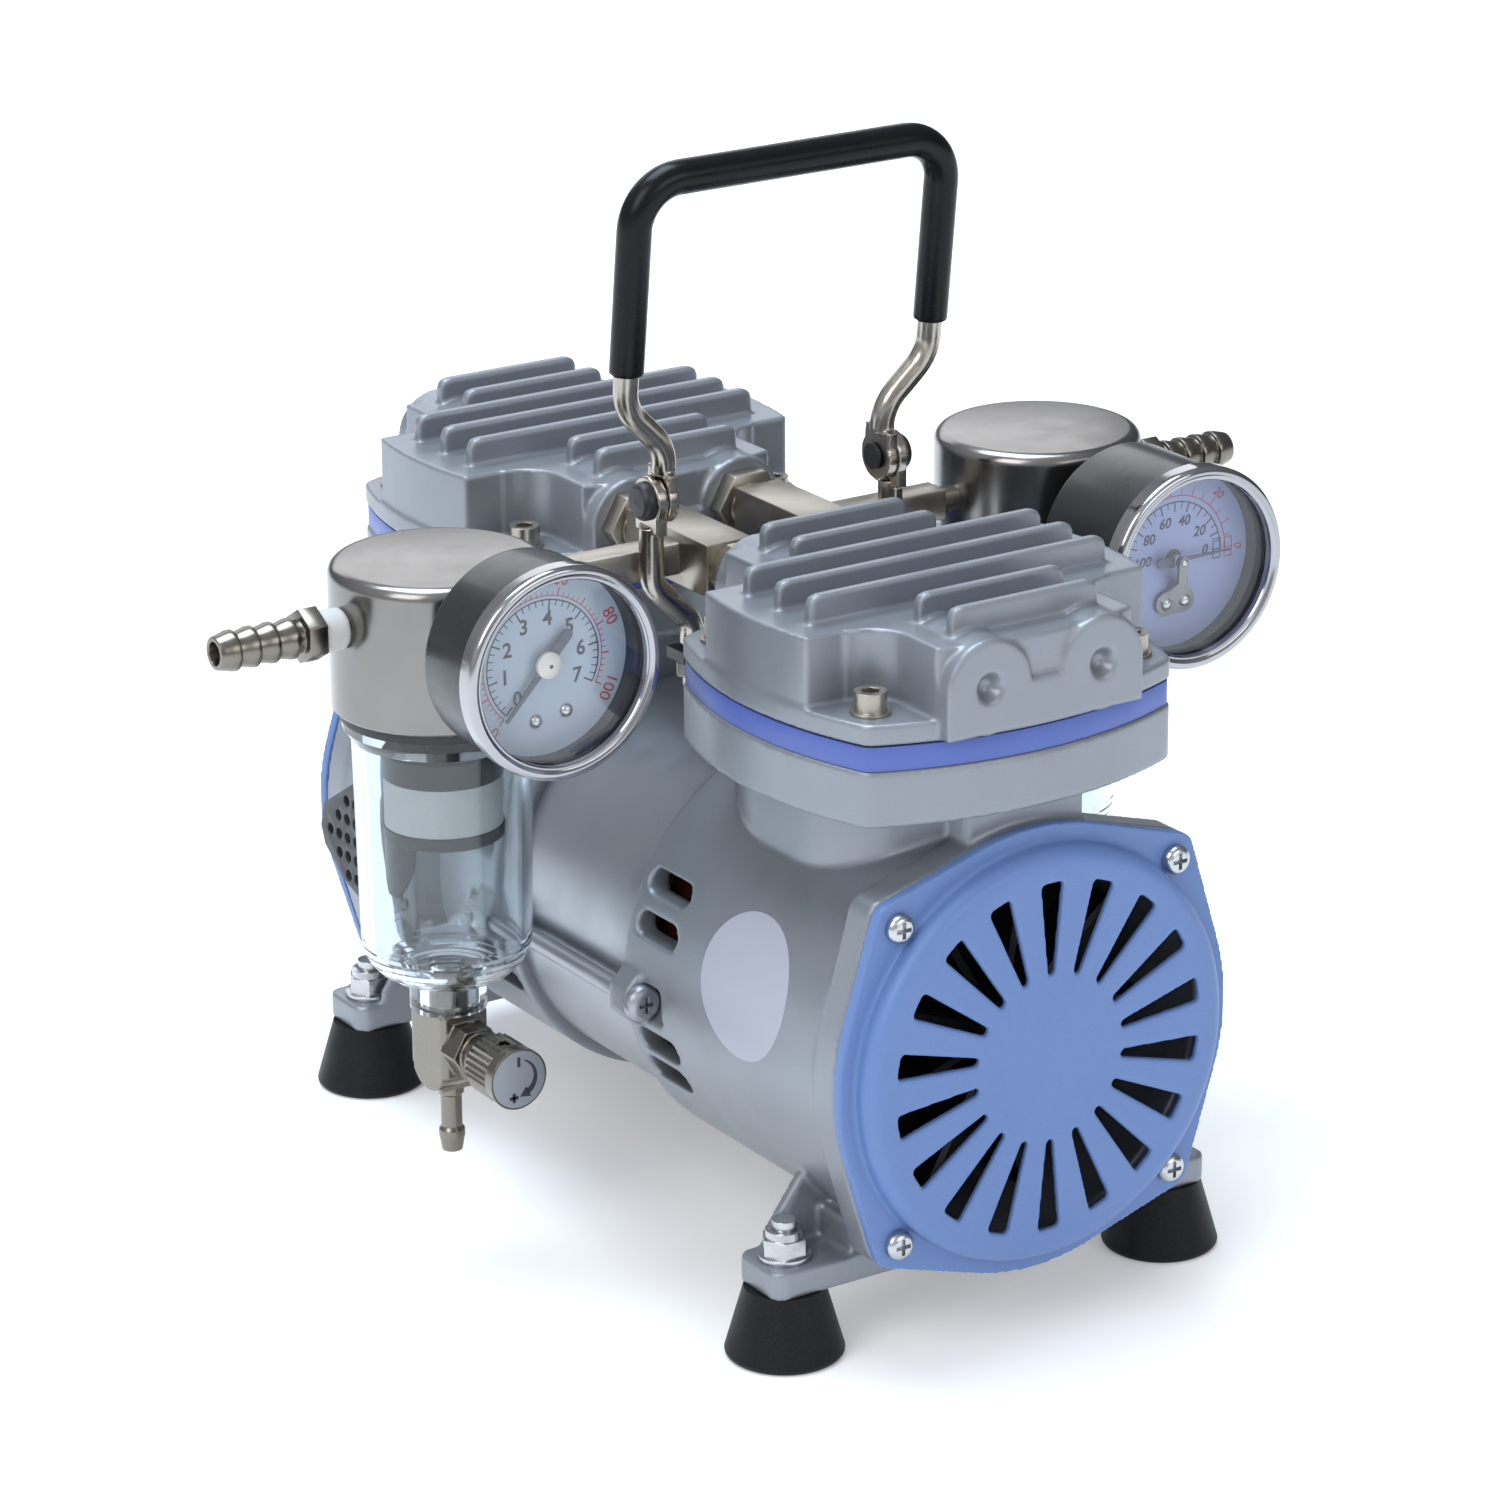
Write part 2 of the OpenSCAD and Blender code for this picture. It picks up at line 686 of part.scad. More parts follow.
module port_boss(x, h) {
  translate([x, 0, 0]) linear_extrude(h) {
    circle(boss_r);
    translate([-boss_r, -port_z + head_z + 0.5]) square([2 * boss_r, port_z - head_z - 0.5]);
  }
}

// Cylinder head with fins; its ports open towards -Y, and +Y is the blank outer side
module head() {
  wall_x = 28.2;
  wall_y = 21.8;
  recess = 9.7;
  boss_y = head_hy + 0.5;
  difference() {
    union() {
      translate([0, 0, head_z]) linear_extrude(rim_t) head_outline();
      translate([0, 0, head_z]) linear_extrude(block_h) difference() {
        head_outline(0.6);
        at_corners(screw_x, screw_y) {
          circle(recess);
        }
        for (sx = [-1, 1], sy = [-1, 1]) translate([sx * wall_x, sy * screw_y]) mirror([sx < 0 ? 1 : 0, sy < 0 ? 1 : 0])
          square([40, 40]);
        for (sx = [-1, 1], sy = [-1, 1]) translate([sx * screw_x, sy * wall_y]) mirror([sx < 0 ? 1 : 0, 0])
          translate([0, sy < 0 ? -40 : 0]) square([40, 40]);
      }
      for (i = [-3 : 3]) {
        l = abs(i) > 1 ? fin_short : fin_long;
        translate([-l / 2, i * fin_pitch - fin_t / 2, block_z - 1]) cube([l, fin_t, fin_h + 1]);
      }
      for (s = [-1, 1], sx = [-1, 1]) translate([0, s * boss_y, port_z]) rotate([s > 0 ? 90 : -90, 0, 0])
        mirror([0, s > 0 ? 0 : 1, 0]) port_boss(sx * port_x, 24);
      translate([-port_x, -boss_y, head_z + 0.5]) cube([2 * port_x, 2 * boss_y, port_z - head_z - 0.5]);
    }
    at_corners(screw_x, screw_y) translate([0, 0, head_z - 1]) cylinder(h = 40, r = head_screw_d / 2 + 0.2);
    for (sx = [-1, 1]) translate([sx > 0 ? 2.5 : -26.5, -20, head_z - 1]) cube([24, 40, 18.5]);
    for (sx = [-1, 1]) translate([sx * port_x, 0, port_z]) {
      along_y(-boss_y - 1, -15, port_d / 2);
      translate([0, boss_y - 3.4, 0]) rotate([-90, 0, 0]) cylinder(h = 3.5, r1 = 1.6, r2 = 4);
    }
  }
}

module rear_head() {
  color(silver) translate([0, head_y, 0]) head();
}

module front_head() {
  color(silver) translate([0, -head_y, 0]) mirror([0, 1, 0]) head();
}

module head_screws() {
  head_r = 3.9;
  screw_reach = 11;
  color(nickel) both_ends() translate([0, head_y, 0]) at_corners(screw_x, screw_y) {
    difference() {
      union() {
        translate([0, 0, head_socket_z]) cylinder(h = 4.8, r = head_r);
        translate([0, 0, plate_z - screw_reach]) cylinder(h = head_socket_z - plate_z + screw_reach + 0.5, r = head_screw_d / 2);
      }
      translate([0, 0, head_socket_z + 2.2]) hexagon(4, 4);
    }
    difference() {
      translate([0, 0, rim_z]) cylinder(h = 0.8, r = head_r + 1);
      translate([0, 0, rim_z - 1]) cylinder(h = 3, r = head_screw_d / 2 + 0.02);
    }
  }
}

// Hexagon adapter between a head port at y = 0 and a manifold bar end at y = -l
module adapter(l) {
  rotate([90, 0, 0]) {
    translate([0, 0, -10]) cylinder(h = 10.5, r = port_d / 2);
    hexagon(adapter_af, min(5, l - 1));
    cylinder(h = l, r = bar_w / 2 - 0.8);
  }
}

module port_adapters() {
  port_face = head_y - head_hy - 0.5;
  color(nickel) both_sides() translate([port_x, 0, port_z]) {
    translate([0, port_face, 0]) adapter(port_face - bar_rear);
    mirror([0, 1, 0]) translate([0, port_face, 0]) adapter(port_face + bar_front);
  }
}

// Square bar between the two heads with its branch to a trap, drawn on the right
module manifold() {
  branch_end = trap_x - cap_r - 4;
  translate([port_x - bar_w / 2, bar_front, port_z - bar_w / 2]) cube([bar_w, bar_rear - bar_front, bar_w]);
  translate([port_x, -branch_w / 2, port_z - branch_w / 2]) cube([branch_end - port_x, branch_w, branch_w]);
  translate([0, 0, port_z]) along_x(branch_end - 0.1, trap_x - cap_r + 6, 3.4);
}

module pressure_manifold() {
  color(nickel) mirror([1, 0, 0]) manifold();
}

module vacuum_manifold() {
  color(nickel) manifold();
}

module rubber_feet() {
  round_r = 1.5;
  color(black) at_corners(foot_x, foot_y) rotate_extrude() difference() {
    polygon(concat(
      [[0, 0]],
      arc(foot_r - round_r, round_r, round_r, -90, 0, 4),
      [[foot_top_r, foot_h], [0, foot_h]]
    ));
    translate([-1, stud_seat]) square([stud_d / 2 + 1, foot_h]);
  }
}

module foot_studs() {
  color(steel) at_corners(foot_x, foot_y) translate([0, 0, stud_seat]) cylinder(h = bar_top + stud_tip, r = stud_d / 2);
}

module foot_nuts() {
  color(steel) at_corners(foot_x, foot_y) translate([0, 0, bar_top]) difference() {
    union() {
      cylinder(h = 1.4, r = nut_flange_r);
      hexagon(foot_nut_af, foot_nut_h);
      cylinder(h = foot_nut_top, r = 4.6);
    }
    translate([0, 0, -1]) cylinder(h = foot_nut_top + 4.4, r = stud_d / 2 + 0.02);
  }
}

link_x = eye_x + eye_t / 2;
link_bend = 8;
link_slant = 9.9;
link_stud_x = link_x - 2 * link_bend * (1 - cos(45)) - link_slant * sin(45);
link_stud_z = link_bend_z - 2 * link_bend * sin(45) - link_slant * cos(45);
stud_r = rod_r - 0.6;
bracket_top = link_stud_z - 3;
bracket_t = 3;
bracket_saddle = 12;
link_nut_af = 8;
link_nut_h = 4;
link_nut_room = 0.6;
foot_nut_af = 10;
foot_nut_h = 5.6;
foot_nut_top = 7.6;
stud_tip = 5;

// Bent strap welded on the stator band, which carries the studs of the two handle links
module handle_bracket() {
  w = 8;
  leg_x = link_stud_x - link_nut_af / 2 / cos(30) - link_nut_room;
  strap_x = link_stud_x + link_nut_af / 2 + 1;
  color("dimgray") translate([handle_off, 0, 0]) difference() {
    union() {
      translate([-strap_x, pivot_y - w / 2, bracket_top - bracket_t]) cube([2 * strap_x, w, bracket_t]);
      both_sides() translate([leg_x - bracket_t, pivot_y - w / 2, shaft_h + band_r - bracket_saddle])
        cube([bracket_t, w, bracket_top - shaft_h - band_r + bracket_saddle]);
      intersection() {
        translate([-handle_off, 0, shaft_h]) along_y(pivot_y - w / 2, pivot_y + w / 2, band_r + 2.5, $fn = 120);
        both_sides() translate([leg_x - bracket_saddle, -band_r, shaft_h]) cube([bracket_saddle, 2 * band_r, 2 * band_r]);
      }
    }
    translate([-handle_off, 0, shaft_h]) along_y(-band_r, band_r, band_r, $fn = 120);
    both_sides() translate([link_stud_x, pivot_y, bracket_top - 20]) cylinder(h = 40, r = stud_r + fit_gap);
  }
}

module link() {
  eye_drop = eye_r + 2;
  translate([0, pivot_y, pivot_z]) {
    along_x(eye_x, eye_x + eye_t, eye_r);
    translate([eye_x, -eye_r + 1, -eye_drop]) cube([eye_t, 2 * eye_r - 2, eye_drop]);
  }
  upper_l = pivot_z - eye_drop + 1.5 - link_bend_z;
  translate([link_x, pivot_y, link_bend_z + upper_l]) rotate([180, 0, 0]) straight(upper_l, rod_r)
    turn(-45, link_bend, rod_r) straight(link_slant, rod_r) turn(45, link_bend, rod_r)
    straight(2.5, rod_r) straight(11, stud_r);
  translate([link_stud_x, pivot_y, bracket_top - bracket_t - link_nut_h - 0.3]) difference() {
    hexagon(link_nut_af, link_nut_h);
    translate([0, 0, -1]) cylinder(h = 6, r = stud_r + 0.02);
  }
}

module handle_links() {
  color(steel) translate([handle_off, 0, 0]) difference() {
    both_sides() link();
    translate([0, pivot_y, pivot_z]) along_x(-80, 80, pin_r + running_gap);
  }
}

module handle_rivets() {
  color(black) translate([handle_off, 0, 0]) both_sides() translate([0, pivot_y, pivot_z]) {
    along_x(eye_x - eye_t - 0.8, eye_x + eye_t, pin_r);
    translate([eye_x + eye_t, 0, 0]) rotate([0, 90, 0]) rotate_extrude() polygon(concat(
      [[0, 0], [pin_r + 2.4, 0]], arc(pin_r, 0.6, 2.4, 0, 60, 5), [[0, 2.9]]
    ));
    translate([eye_x - eye_t - joint_gap - 1.2, 0, 0]) rotate([0, 90, 0]) cylinder(h = 0.9, r = pin_r + 0.9);
  }
}

jog = grip_x - eye_x + eye_t / 2 + joint_gap;
jog_a = 45;
jog_run = (jog - 2 * bend_r * (1 - cos(jog_a))) / sin(jog_a);
leg_start = eye_r + 0.5;
root_l = 1.8;
jog_top = root_l + 2 * bend_r * sin(jog_a) + jog_run * cos(jog_a);

leg_l = handle_reach - bend_r - leg_start - jog_top;

// Bail rod in its own upright plane, pivot at the origin
module bail_rod(r) {
  translate([grip_x - jog, 0, leg_start]) straight(root_l, r) turn(jog_a, bend_r, r) straight(jog_run, r)
    turn(-jog_a, bend_r, r) straight(leg_l, r) turn(-90, bend_r, r) straight(2 * (grip_x - bend_r), r)
    turn(-90, bend_r, r) straight(leg_l, r) turn(-jog_a, bend_r, r) straight(jog_run, r)
    turn(jog_a, bend_r, r) straight(root_l, r);
}

module in_bail_plane() {
  translate([handle_off, pivot_y, pivot_z]) rotate([handle_lean, 0, 0]) children();
}

module handle_frame() {
  eye_in = eye_x - joint_gap - eye_t;
  color(steel) in_bail_plane() difference() {
    union() {
      bail_rod(rod_r);
      both_sides() along_x(eye_in, eye_in + eye_t, eye_r);
      both_sides() translate([eye_in, -eye_r + 1, 0]) cube([eye_t, 2 * eye_r - 2, leg_start + 1]);
    }
    along_x(-80, 80, pin_r + running_gap);
  }
}

module handle_grip() {
  grip_l = handle_reach - bend_r - bare_rod;
  color(black) in_bail_plane() difference() {
    translate([grip_x, 0, bare_rod]) straight(grip_l, grip_r) turn(-90, bend_r, grip_r)
      straight(2 * (grip_x - bend_r), grip_r) turn(-90, bend_r, grip_r) straight(grip_l, grip_r);
    bail_rod(rod_r + 0.02);
  }
}

module at_trap() {
  translate([trap_x, 0, 0]) children();
}

// Machined trap cap, drawn on the right, with ports for hose, manifold and gauge
module trap_cap(gauge_z) {
  edge = 2.5;
  at_trap() difference() {
    rotate_extrude($fn = 96) polygon(concat(
      [[0, cap_z], [cap_r - 0.6, cap_z], [cap_r, cap_z + 0.6]],
      arc(cap_r - edge, cap_top - edge, edge, 0, 90, 6),
      [[0, cap_top]]
    ));
    translate([0, 0, cap_z - 1]) cylinder(h = collar_z + 2.8 - cap_z, r = bowl_collar_r + 0.15, $fn = 96);
    cylinder(h = cap_top - 6, r = 19, $fn = 96);
    translate([0, 0, barb_z]) along_x(10, 40, 4.5);
    translate([0, 0, port_z]) along_x(-40, -10, 3.4);
    translate([0, 0, gauge_z]) along_y(-40, -10, 4.5);
  }
}

module trap_caps() {
  color([0.8, 0.8, 0.8]) {
    trap_cap(vacuum_z);
    mirror([1, 0, 0]) trap_cap(pressure_z);
  }
}

module bowl_seals() {
  color(black) both_sides() at_trap() translate([0, 0, collar_z]) difference() {
    cylinder(h = 1.8, r = bowl_collar_r, $fn = 96);
    translate([0, 0, -1]) cylinder(h = 4, r = bowl_collar_r - 4, $fn = 96);
  }
}

module trap_bowl() {
  low_r = bowl_r - 1;
  curve = 11.6;
  curve_z = neck_z + curve;
  inner = bowl_r - bowl_wall;
  color([0.8, 0.88, 0.9], 0.4) at_trap() rotate_extrude($fn = 96) polygon(concat(
    [[5, valve_top], [neck_bowl_r, valve_top], [neck_bowl_r, neck_z]],
    arc(low_r - curve, curve_z, curve, -90, 0, 8),
    [[bowl_r, cap_z - 8], [bowl_collar_r, cap_z - 5], [bowl_collar_r, collar_z], [inner, collar_z], [inner, cap_z - 8]],
    arc(low_r - curve, curve_z, curve - bowl_wall, 0, -90, 8),
    [[5, neck_z + bowl_wall]]
  ));
}

module left_trap_bowl() {
  mirror([1, 0, 0]) trap_bowl();
}

module right_trap_bowl() {
  trap_bowl();
}

module filter_holders() {
  cap_t = 7;
  color(black) both_sides() at_trap() {
    translate([0, 0, filter_top - cap_t]) cylinder(h = cap_t, r = filter_r);
    translate([0, 0, filter_top]) cylinder(h = cap_top - 6 - filter_top, r = 4);
    translate([0, 0, filter_top - cap_t - filter_h]) cylinder(h = filter_h, r = 3);
    translate([0, 0, filter_top - cap_t - filter_h - 3.6]) cylinder(h = 3.6, r = filter_r);
    for (a = [45, 135]) translate([0, 0, filter_top - cap_t - filter_h - 10.5]) rotate(a)
      translate([-filter_r + 4, -0.6, 0]) cube([2 * filter_r - 8, 1.2, 7]);
  }
}

module filter_elements() {
  color("white") both_sides() at_trap() translate([0, 0, filter_top - 7 - filter_h]) difference() {
    cylinder(h = filter_h, r = filter_r - 0.3);
    translate([0, 0, -1]) cylinder(h = filter_h + 2, r = 3.02);
  }
}

// Ribbed hose tail that starts at the origin and points up
module ribbed_tail(d, l, ribs, bore) {
  land = 1.2;
  step = (l - 2) / ribs;
  r = d / 2;
  root = r * 0.8;
  difference() {
    rotate_extrude() polygon(concat(
      [[0, 0], [root, 0], [root, 2]],
      [for (i = [0 : ribs - 1], k = [0 : 2])
        k == 0 ? [r, 2 + i * step] : k == 1 ? [r, 2 + i * step + land] : [root, 2 + (i + 1) * step - 0.1]],
      [[0, l]]
    ));
    translate([0, 0, -20]) cylinder(h = l + 40, r = bore);
  }
}

module hose_barbs() {
  hex_af = 12;
  tape = 6;
  color(nickel) both_sides() translate([trap_x + cap_r, 0, barb_z]) rotate([0, 90, 0]) {
    difference() {
      translate([0, 0, -7]) cylinder(h = 7 + tape, r = 4.45);
      translate([0, 0, -9]) cylinder(h = 30, r = 2.9);
    }
    difference() {
      translate([0, 0, tape]) hexagon(hex_af, 5);
      translate([0, 0, -9]) cylinder(h = 30, r = 2.9);
    }
    translate([0, 0, tape + 5]) ribbed_tail(barb_d, barb_l, 4, 2.9);
  }
}

// Valve block with its nipple, bonnet and passages, drawn round the trap axis
module valve_body() {
  edge = 1.5;
  low = 5;
  difference() {
    union() {
      translate([0, 0, valve_bottom + low]) linear_extrude(valve_h - low) {
        square([valve_w, valve_d - 2 * edge], center = true);
        square([valve_w - 2 * edge, valve_d], center = true);
        at_corners(valve_w / 2 - edge, valve_d / 2 - edge) circle(edge);
      }
      intersection() {
        translate([-valve_w / 2, -valve_d / 2 + edge, valve_bottom]) cube([valve_w, valve_d - 2 * edge, low + 1]);
        translate([0, 0, valve_bottom + valve_d / 2]) along_x(-20, 20, valve_d / 2);
      }
      translate([-valve_w / 2 + edge, -drain_d / 2 - 1, valve_bottom]) cube([valve_w - 2 * edge, drain_d + 2, low]);
      translate([0, 0, valve_top - 1]) cylinder(h = 9, r = 4.95);
      translate([0, -valve_d / 2 + 1, spindle_z]) rotate([90, 0, 0]) hexagon(12.5, bonnet_l - 2);
      translate([0, 0, spindle_z]) along_y(-bonnet_end, -valve_d / 2 + 1, 5.2);
    }
    translate([0, 0, spindle_z]) along_y(-bonnet_end - 1, 2.5, spindle_d / 2 + running_gap);
    translate([0, 0, spindle_z]) cylinder(h = 40, r = 2);
    translate([0, 0, valve_bottom - 1]) cylinder(h = spindle_up, r = 1.6);
    translate([0, 0, valve_bottom - 1]) cylinder(h = 6, r = 2.6);
  }
}

module valve_bodies() {
  color(nickel) both_sides() at_trap() valve_body();
}

module drain_barbs() {
  color(nickel) both_sides() at_trap() translate([0, 0, valve_bottom]) {
    difference() {
      rotate([180, 0, 0]) rotate_extrude() polygon([
        [0, -5], [2.58, -5], [2.58, 0], [drain_d / 2, 0], [drain_d / 2, 2], [drain_d * 0.41, 2.6],
        [drain_d * 0.41, drain_l - 6.5], [drain_d / 2, drain_l - 5.5], [drain_d / 2, drain_l - 4],
        [drain_d * 0.4, drain_l], [0, drain_l]
      ]);
      translate([0, 0, -drain_l - 1]) cylinder(h = drain_l + 8, r = 1.5);
    }
  }
}

module valve_spindle() {
  tip = 3;
  at_trap() translate([0, 0, spindle_z]) {
    along_y(-knob_face + 4.3, -1.5, spindle_d / 2);
    translate([0, -1.51, 0]) rotate([-90, 0, 0]) cylinder(h = tip, r1 = spindle_d / 2 - 0.3, r2 = 0.8);
  }
}

module left_valve_spindle() {
  color(steel) mirror([1, 0, 0]) valve_spindle();
}

module right_valve_spindle() {
  color(steel) valve_spindle();
}

// Knurled knob with two set screw holes, its face towards -Y
module valve_knob() {
  r = knob_d / 2;
  knurls = 30;
  at_trap() translate([0, -knob_back, spindle_z]) rotate([90, 0, 0]) difference() {
    union() {
      translate([0, 0, knob_l - 3]) cylinder(h = 3, r = r);
      cylinder(h = 4, r = r - 1.2);
      translate([0, 0, 2]) linear_extrude(knob_l - 4) polygon([for (i = [0 : 2 * knurls - 1])
        (r - 0.05 - (i % 2) * knurl) * [cos(180 * i / knurls), sin(180 * i / knurls)]]);
    }
    translate([0, 0, -1]) cylinder(h = knob_l - 3, r = spindle_d / 2 + running_gap);
    for (a = [90, 190]) rotate([0, 0, a]) translate([0, 0, knob_l - 6.2]) along_x(spindle_d / 2 + 0.6, r + 1, 1.5);
    translate([0, 0, knob_l - 0.4]) cylinder(h = 1, r = r - 1);
  }
}

module left_valve_knob() {
  color(nickel) mirror([1, 0, 0]) valve_knob();
}

module right_valve_knob() {
  color(nickel) valve_knob();
}

// Calls its children once for each gauge, at the middle of its face
module at_pressure_gauge() {
  translate([-trap_x, -pressure_face, pressure_z]) children();
}

module at_vacuum_gauge() {
  translate([trap_x, -vacuum_face, vacuum_z]) children();
}

// Cup-shaped case with its stem, from the face at y = 0 back to y = depth
module gauge_case(depth, stem_l) {
  wall = 1.4;
  difference() {
    along_y(bezel_t - 1, depth, case_r, $fn = 96);
    along_y(bezel_t - 2, depth - wall, case_r - wall, $fn = 96);
  }
  difference() {
    union() {
      along_y(depth - 0.1, depth + stem_l + 6, 4.45);
      translate([0, depth + stem_l - 1, 0]) rotate([90, 0, 0]) hexagon(11, stem_l - 1);
    }
    along_y(depth - 1, depth + stem_l + 7, 1.5);
  }
}

module gauge_cases() {
  color(black) {
    at_pressure_gauge() gauge_case(pressure_face - pressure_back, pressure_back - cap_r);
    at_vacuum_gauge() gauge_case(vacuum_face - vacuum_back, vacuum_back - cap_r);
  }
}

module gauge_bezel() {
  lip = bezel_r - 3.6;
  rotate([-90, 0, 0]) rotate_extrude($fn = 96) polygon(concat(
    [[case_r + 0.05, 2.7], [case_r + 0.05, bezel_t], [bezel_r - 0.6, bezel_t], [bezel_r, bezel_t - 1.5]],
    arc(bezel_r - 1.8, 1.8, 1.8, 0, -90, 5),
    [[lip + 0.8, 0.4], [lip, 1.2], [lip, 2.7]]
  ));
}

module gauge_bezels() {
  color([0.85, 0.86, 0.88]) {
    at_pressure_gauge() gauge_bezel();
    at_vacuum_gauge() gauge_bezel();
  }
}

module gauge_lenses() {
  color([0.85, 0.9, 0.95], 0.3) {
    at_pressure_gauge() along_y(2.7, bezel_t - 1, case_r, $fn = 96);
    at_vacuum_gauge() along_y(2.7, bezel_t - 1, case_r, $fn = 96);
  }
}

module gauge_dial() {
  difference() {
    along_y(dial_in + 2.6, dial_in + 3.4, case_r - 1.45, $fn = 96);
    along_y(0, 30, 1.9);
  }
}

module gauge_dials() {
  color([0.86, 0.89, 0.95]) {
    at_pressure_gauge() gauge_dial();
    at_vacuum_gauge() gauge_dial();
  }
}

// Curved tube spring on its block, fixed to the back of the case
module bourdon(depth) {
  back = depth - 1.4;
  translate([0, back, 0]) rotate([90, 0, 0]) {
    translate([-5, -18, 0]) cube([10, 8, 3.6]);
    rotate(-80) rotate_extrude(angle = 250) translate([14, 1]) square([1.6, 2.4]);
    difference() {
      cylinder(h = 3.6, r = 4);
      translate([0, 0, -1]) cylinder(h = 6, r = 1.2 + running_gap);
    }
    translate([-2, -15, 0]) cube([4, 12, 1.5]);
  }
}

module bourdon_tubes() {
  color(nickel) {
    at_pressure_gauge() bourdon(pressure_face - pressure_back);
    at_vacuum_gauge() bourdon(vacuum_face - vacuum_back);
  }
}

// Pointer on its staff, pointing along +X
module pointer(depth) {
  y = dial_in + 0.6;
  along_y(y, depth - 1.6, 1.2);
  along_y(y - 0.8, y + 0.8, 2.6);
  translate([0, y + 0.6, 0]) rotate([90, 0, 0]) linear_extrude(0.6)
    polygon([[-9, -1.3], [-9, 1.3], [0, 0.9], [pointer_l, 0.25], [pointer_l, -0.25], [0, -0.9]]);
}

module pressure_pointer() {
  color("dimgray") at_pressure_gauge() rotate([0, -pressure_zero, 0]) pointer(pressure_face - pressure_back);
}

module vacuum_pointer() {
  color("dimgray") at_vacuum_gauge() pointer(vacuum_face - vacuum_back);
}

module box_outline(inset) {
  polygon([
    [box_front + inset, box_low + inset], [box_rear - 24, box_low + inset], [box_rear - 12 - inset / 2, box_low + 4 + inset],
    [box_rear - 2 - inset, box_low + 11], [box_rear - inset, box_low + 16], [box_rear - 2 - inset, box_high - 10],
    [box_rear - 18, box_high - inset], [box_front + inset, box_high - inset]
  ]);
}

// Draws a yz outline as a slab from x0 to x1
module slab_x(x0, x1) {
  translate([x0, 0, 0]) rotate([90, 0, 90]) linear_extrude(x1 - x0) children();
}

module electrical_box() {
  rows = [for (z = [-10.5 : 5.25 : 10.5], y = [0 : 4.6 : 37]) [y, z]];
  color([0.2, 0.2, 0.22]) difference() {
    slab_x(-box_face_x, -40) box_outline(0);
    slab_x(-box_face_x + box_wall, -30) box_outline(box_wall);
    translate([0, 0, shaft_h]) along_y(0, cover_seat + 8, housing_r, $fn = 120);
    for (i = [0 : len(rows) - 1]) let (p = rows[i]) if (p[0] > 3 && abs(p[1]) < 12 - max(0, p[0] - 28))
      translate([0, box_front + 3 + p[0] + (i % 2) * 0, shaft_h + p[1]]) along_x(-box_face_x - 1, -box_face_x + 5, vent_d / 2);
    translate([-box_face_x + 2.6, rocker_y - rocker_l / 2, box_high - 5]) cube([rocker_w + 0.6, rocker_l, 9]);
    translate([-box_face_x + 6.5, rocker_y, box_low - 2]) cylinder(h = 6, r = grommet_d / 2 - 1.2);
  }
}

module terminal_block() {
  w = 6.5;
  h = 10;
  color("ivory") translate([-box_face_x + box_wall, box_front + 18, shaft_h - h / 2]) difference() {
    cube([w, terminal_l, h]);
    for (i = [0.5 : 3]) translate([-1, terminal_l * i / 3, h / 2]) along_x(0, w + 2, 1.6);
    for (i = [1, 2]) translate([w - 2, terminal_l * i / 3 - 0.5, -1]) cube([3, 1, h + 2]);
  }
}

module cable_grommet() {
  r = grommet_d / 2;
  color(black) translate([-box_face_x + 6.5, rocker_y, box_low]) difference() {
    union() {
      translate([0, 0, -3.5]) cylinder(h = 3.5, r1 = r - 1.2, r2 = r);
      cylinder(h = box_wall, r = r - 1.25);
      translate([0, 0, box_wall]) cylinder(h = 1.4, r = r - 0.6);
    }
    translate([0, 0, -5]) cylinder(h = 12, r = 2.2);
  }
}

// Rocker that tips about X, at rest with its rear end down
module power_rocker() {
  half = rocker_l / 2 - 0.6;
  translate([-box_face_x + 2.9, rocker_y, box_high - 0.6]) rotate([-rocker_tilt, 0, 0])
    color(black) rotate([90, 0, 90]) linear_extrude(rocker_w)
      polygon(concat([[-half, 0.4], [-half, -1.6], [-2, -3.4], [2, -3.4], [half, -1.6], [half, 0.4]],
        arc(0, 8.6, 7.2, -45, -135, 6)));
}

module shaft() {
  color(steel) translate([0, 0, shaft_h]) {
    along_y(-cover_seat + 4, cover_seat - 4, shaft_d / 2);
  }
}

module rotor_core() {
  r = stator_bore_r - air_gap;
  color("gray") translate([0, 0, shaft_h]) {
    ring_y(-stator_half + 1, stator_half - 1, r, shaft_d / 2);
    both_ends() ring_y(stator_half - 1, stator_half + 4, r - 2, shaft_d / 2 + 6);
  }
}

// Journal and counterweight of one crank, at the rear, with the throw up
module eccentric() {
  y0 = head_y - rod_bearing_w / 2;
  y1 = head_y + rod_bearing_w / 2;
  difference() {
    union() {
      translate([0, 0, crank_throw]) along_y(y0 - 0.5, y1 + 1, journal_r);
      intersection() {
        along_y(y1 + 1, y1 + 9, 30);
        translate([-40, y1, -40]) cube([80, 20, 44]);
      }
      along_y(y1 + 1, y1 + 9, shaft_d / 2 + 4.5);
    }
    along_y(y0 - 1, y1 + 10, shaft_d / 2);
  }
}

module crank_eccentrics() {
  color("dimgray") translate([0, 0, shaft_h]) {
    rotate([0, 180, 0]) eccentric();
    mirror([0, 1, 0]) eccentric();
  }
}

module fan() {
  y0 = head_y + rod_bearing_w / 2 + 11;
  w = 16;
  ring_y(y0, y0 + w + 4, shaft_d / 2 + 4, shaft_d / 2);
  ring_y(y0, y0 + 2, fan_r, shaft_d / 2);
  for (i = [0 : fan_blades - 1]) rotate([0, 360 / fan_blades * i, 0]) translate([shaft_d / 2 + 3, y0, -1])
    cube([fan_r - shaft_d / 2 - 4, w, 2]);
}

module cooling_fans() {
  color(black) translate([0, 0, shaft_h]) both_ends() fan();
}

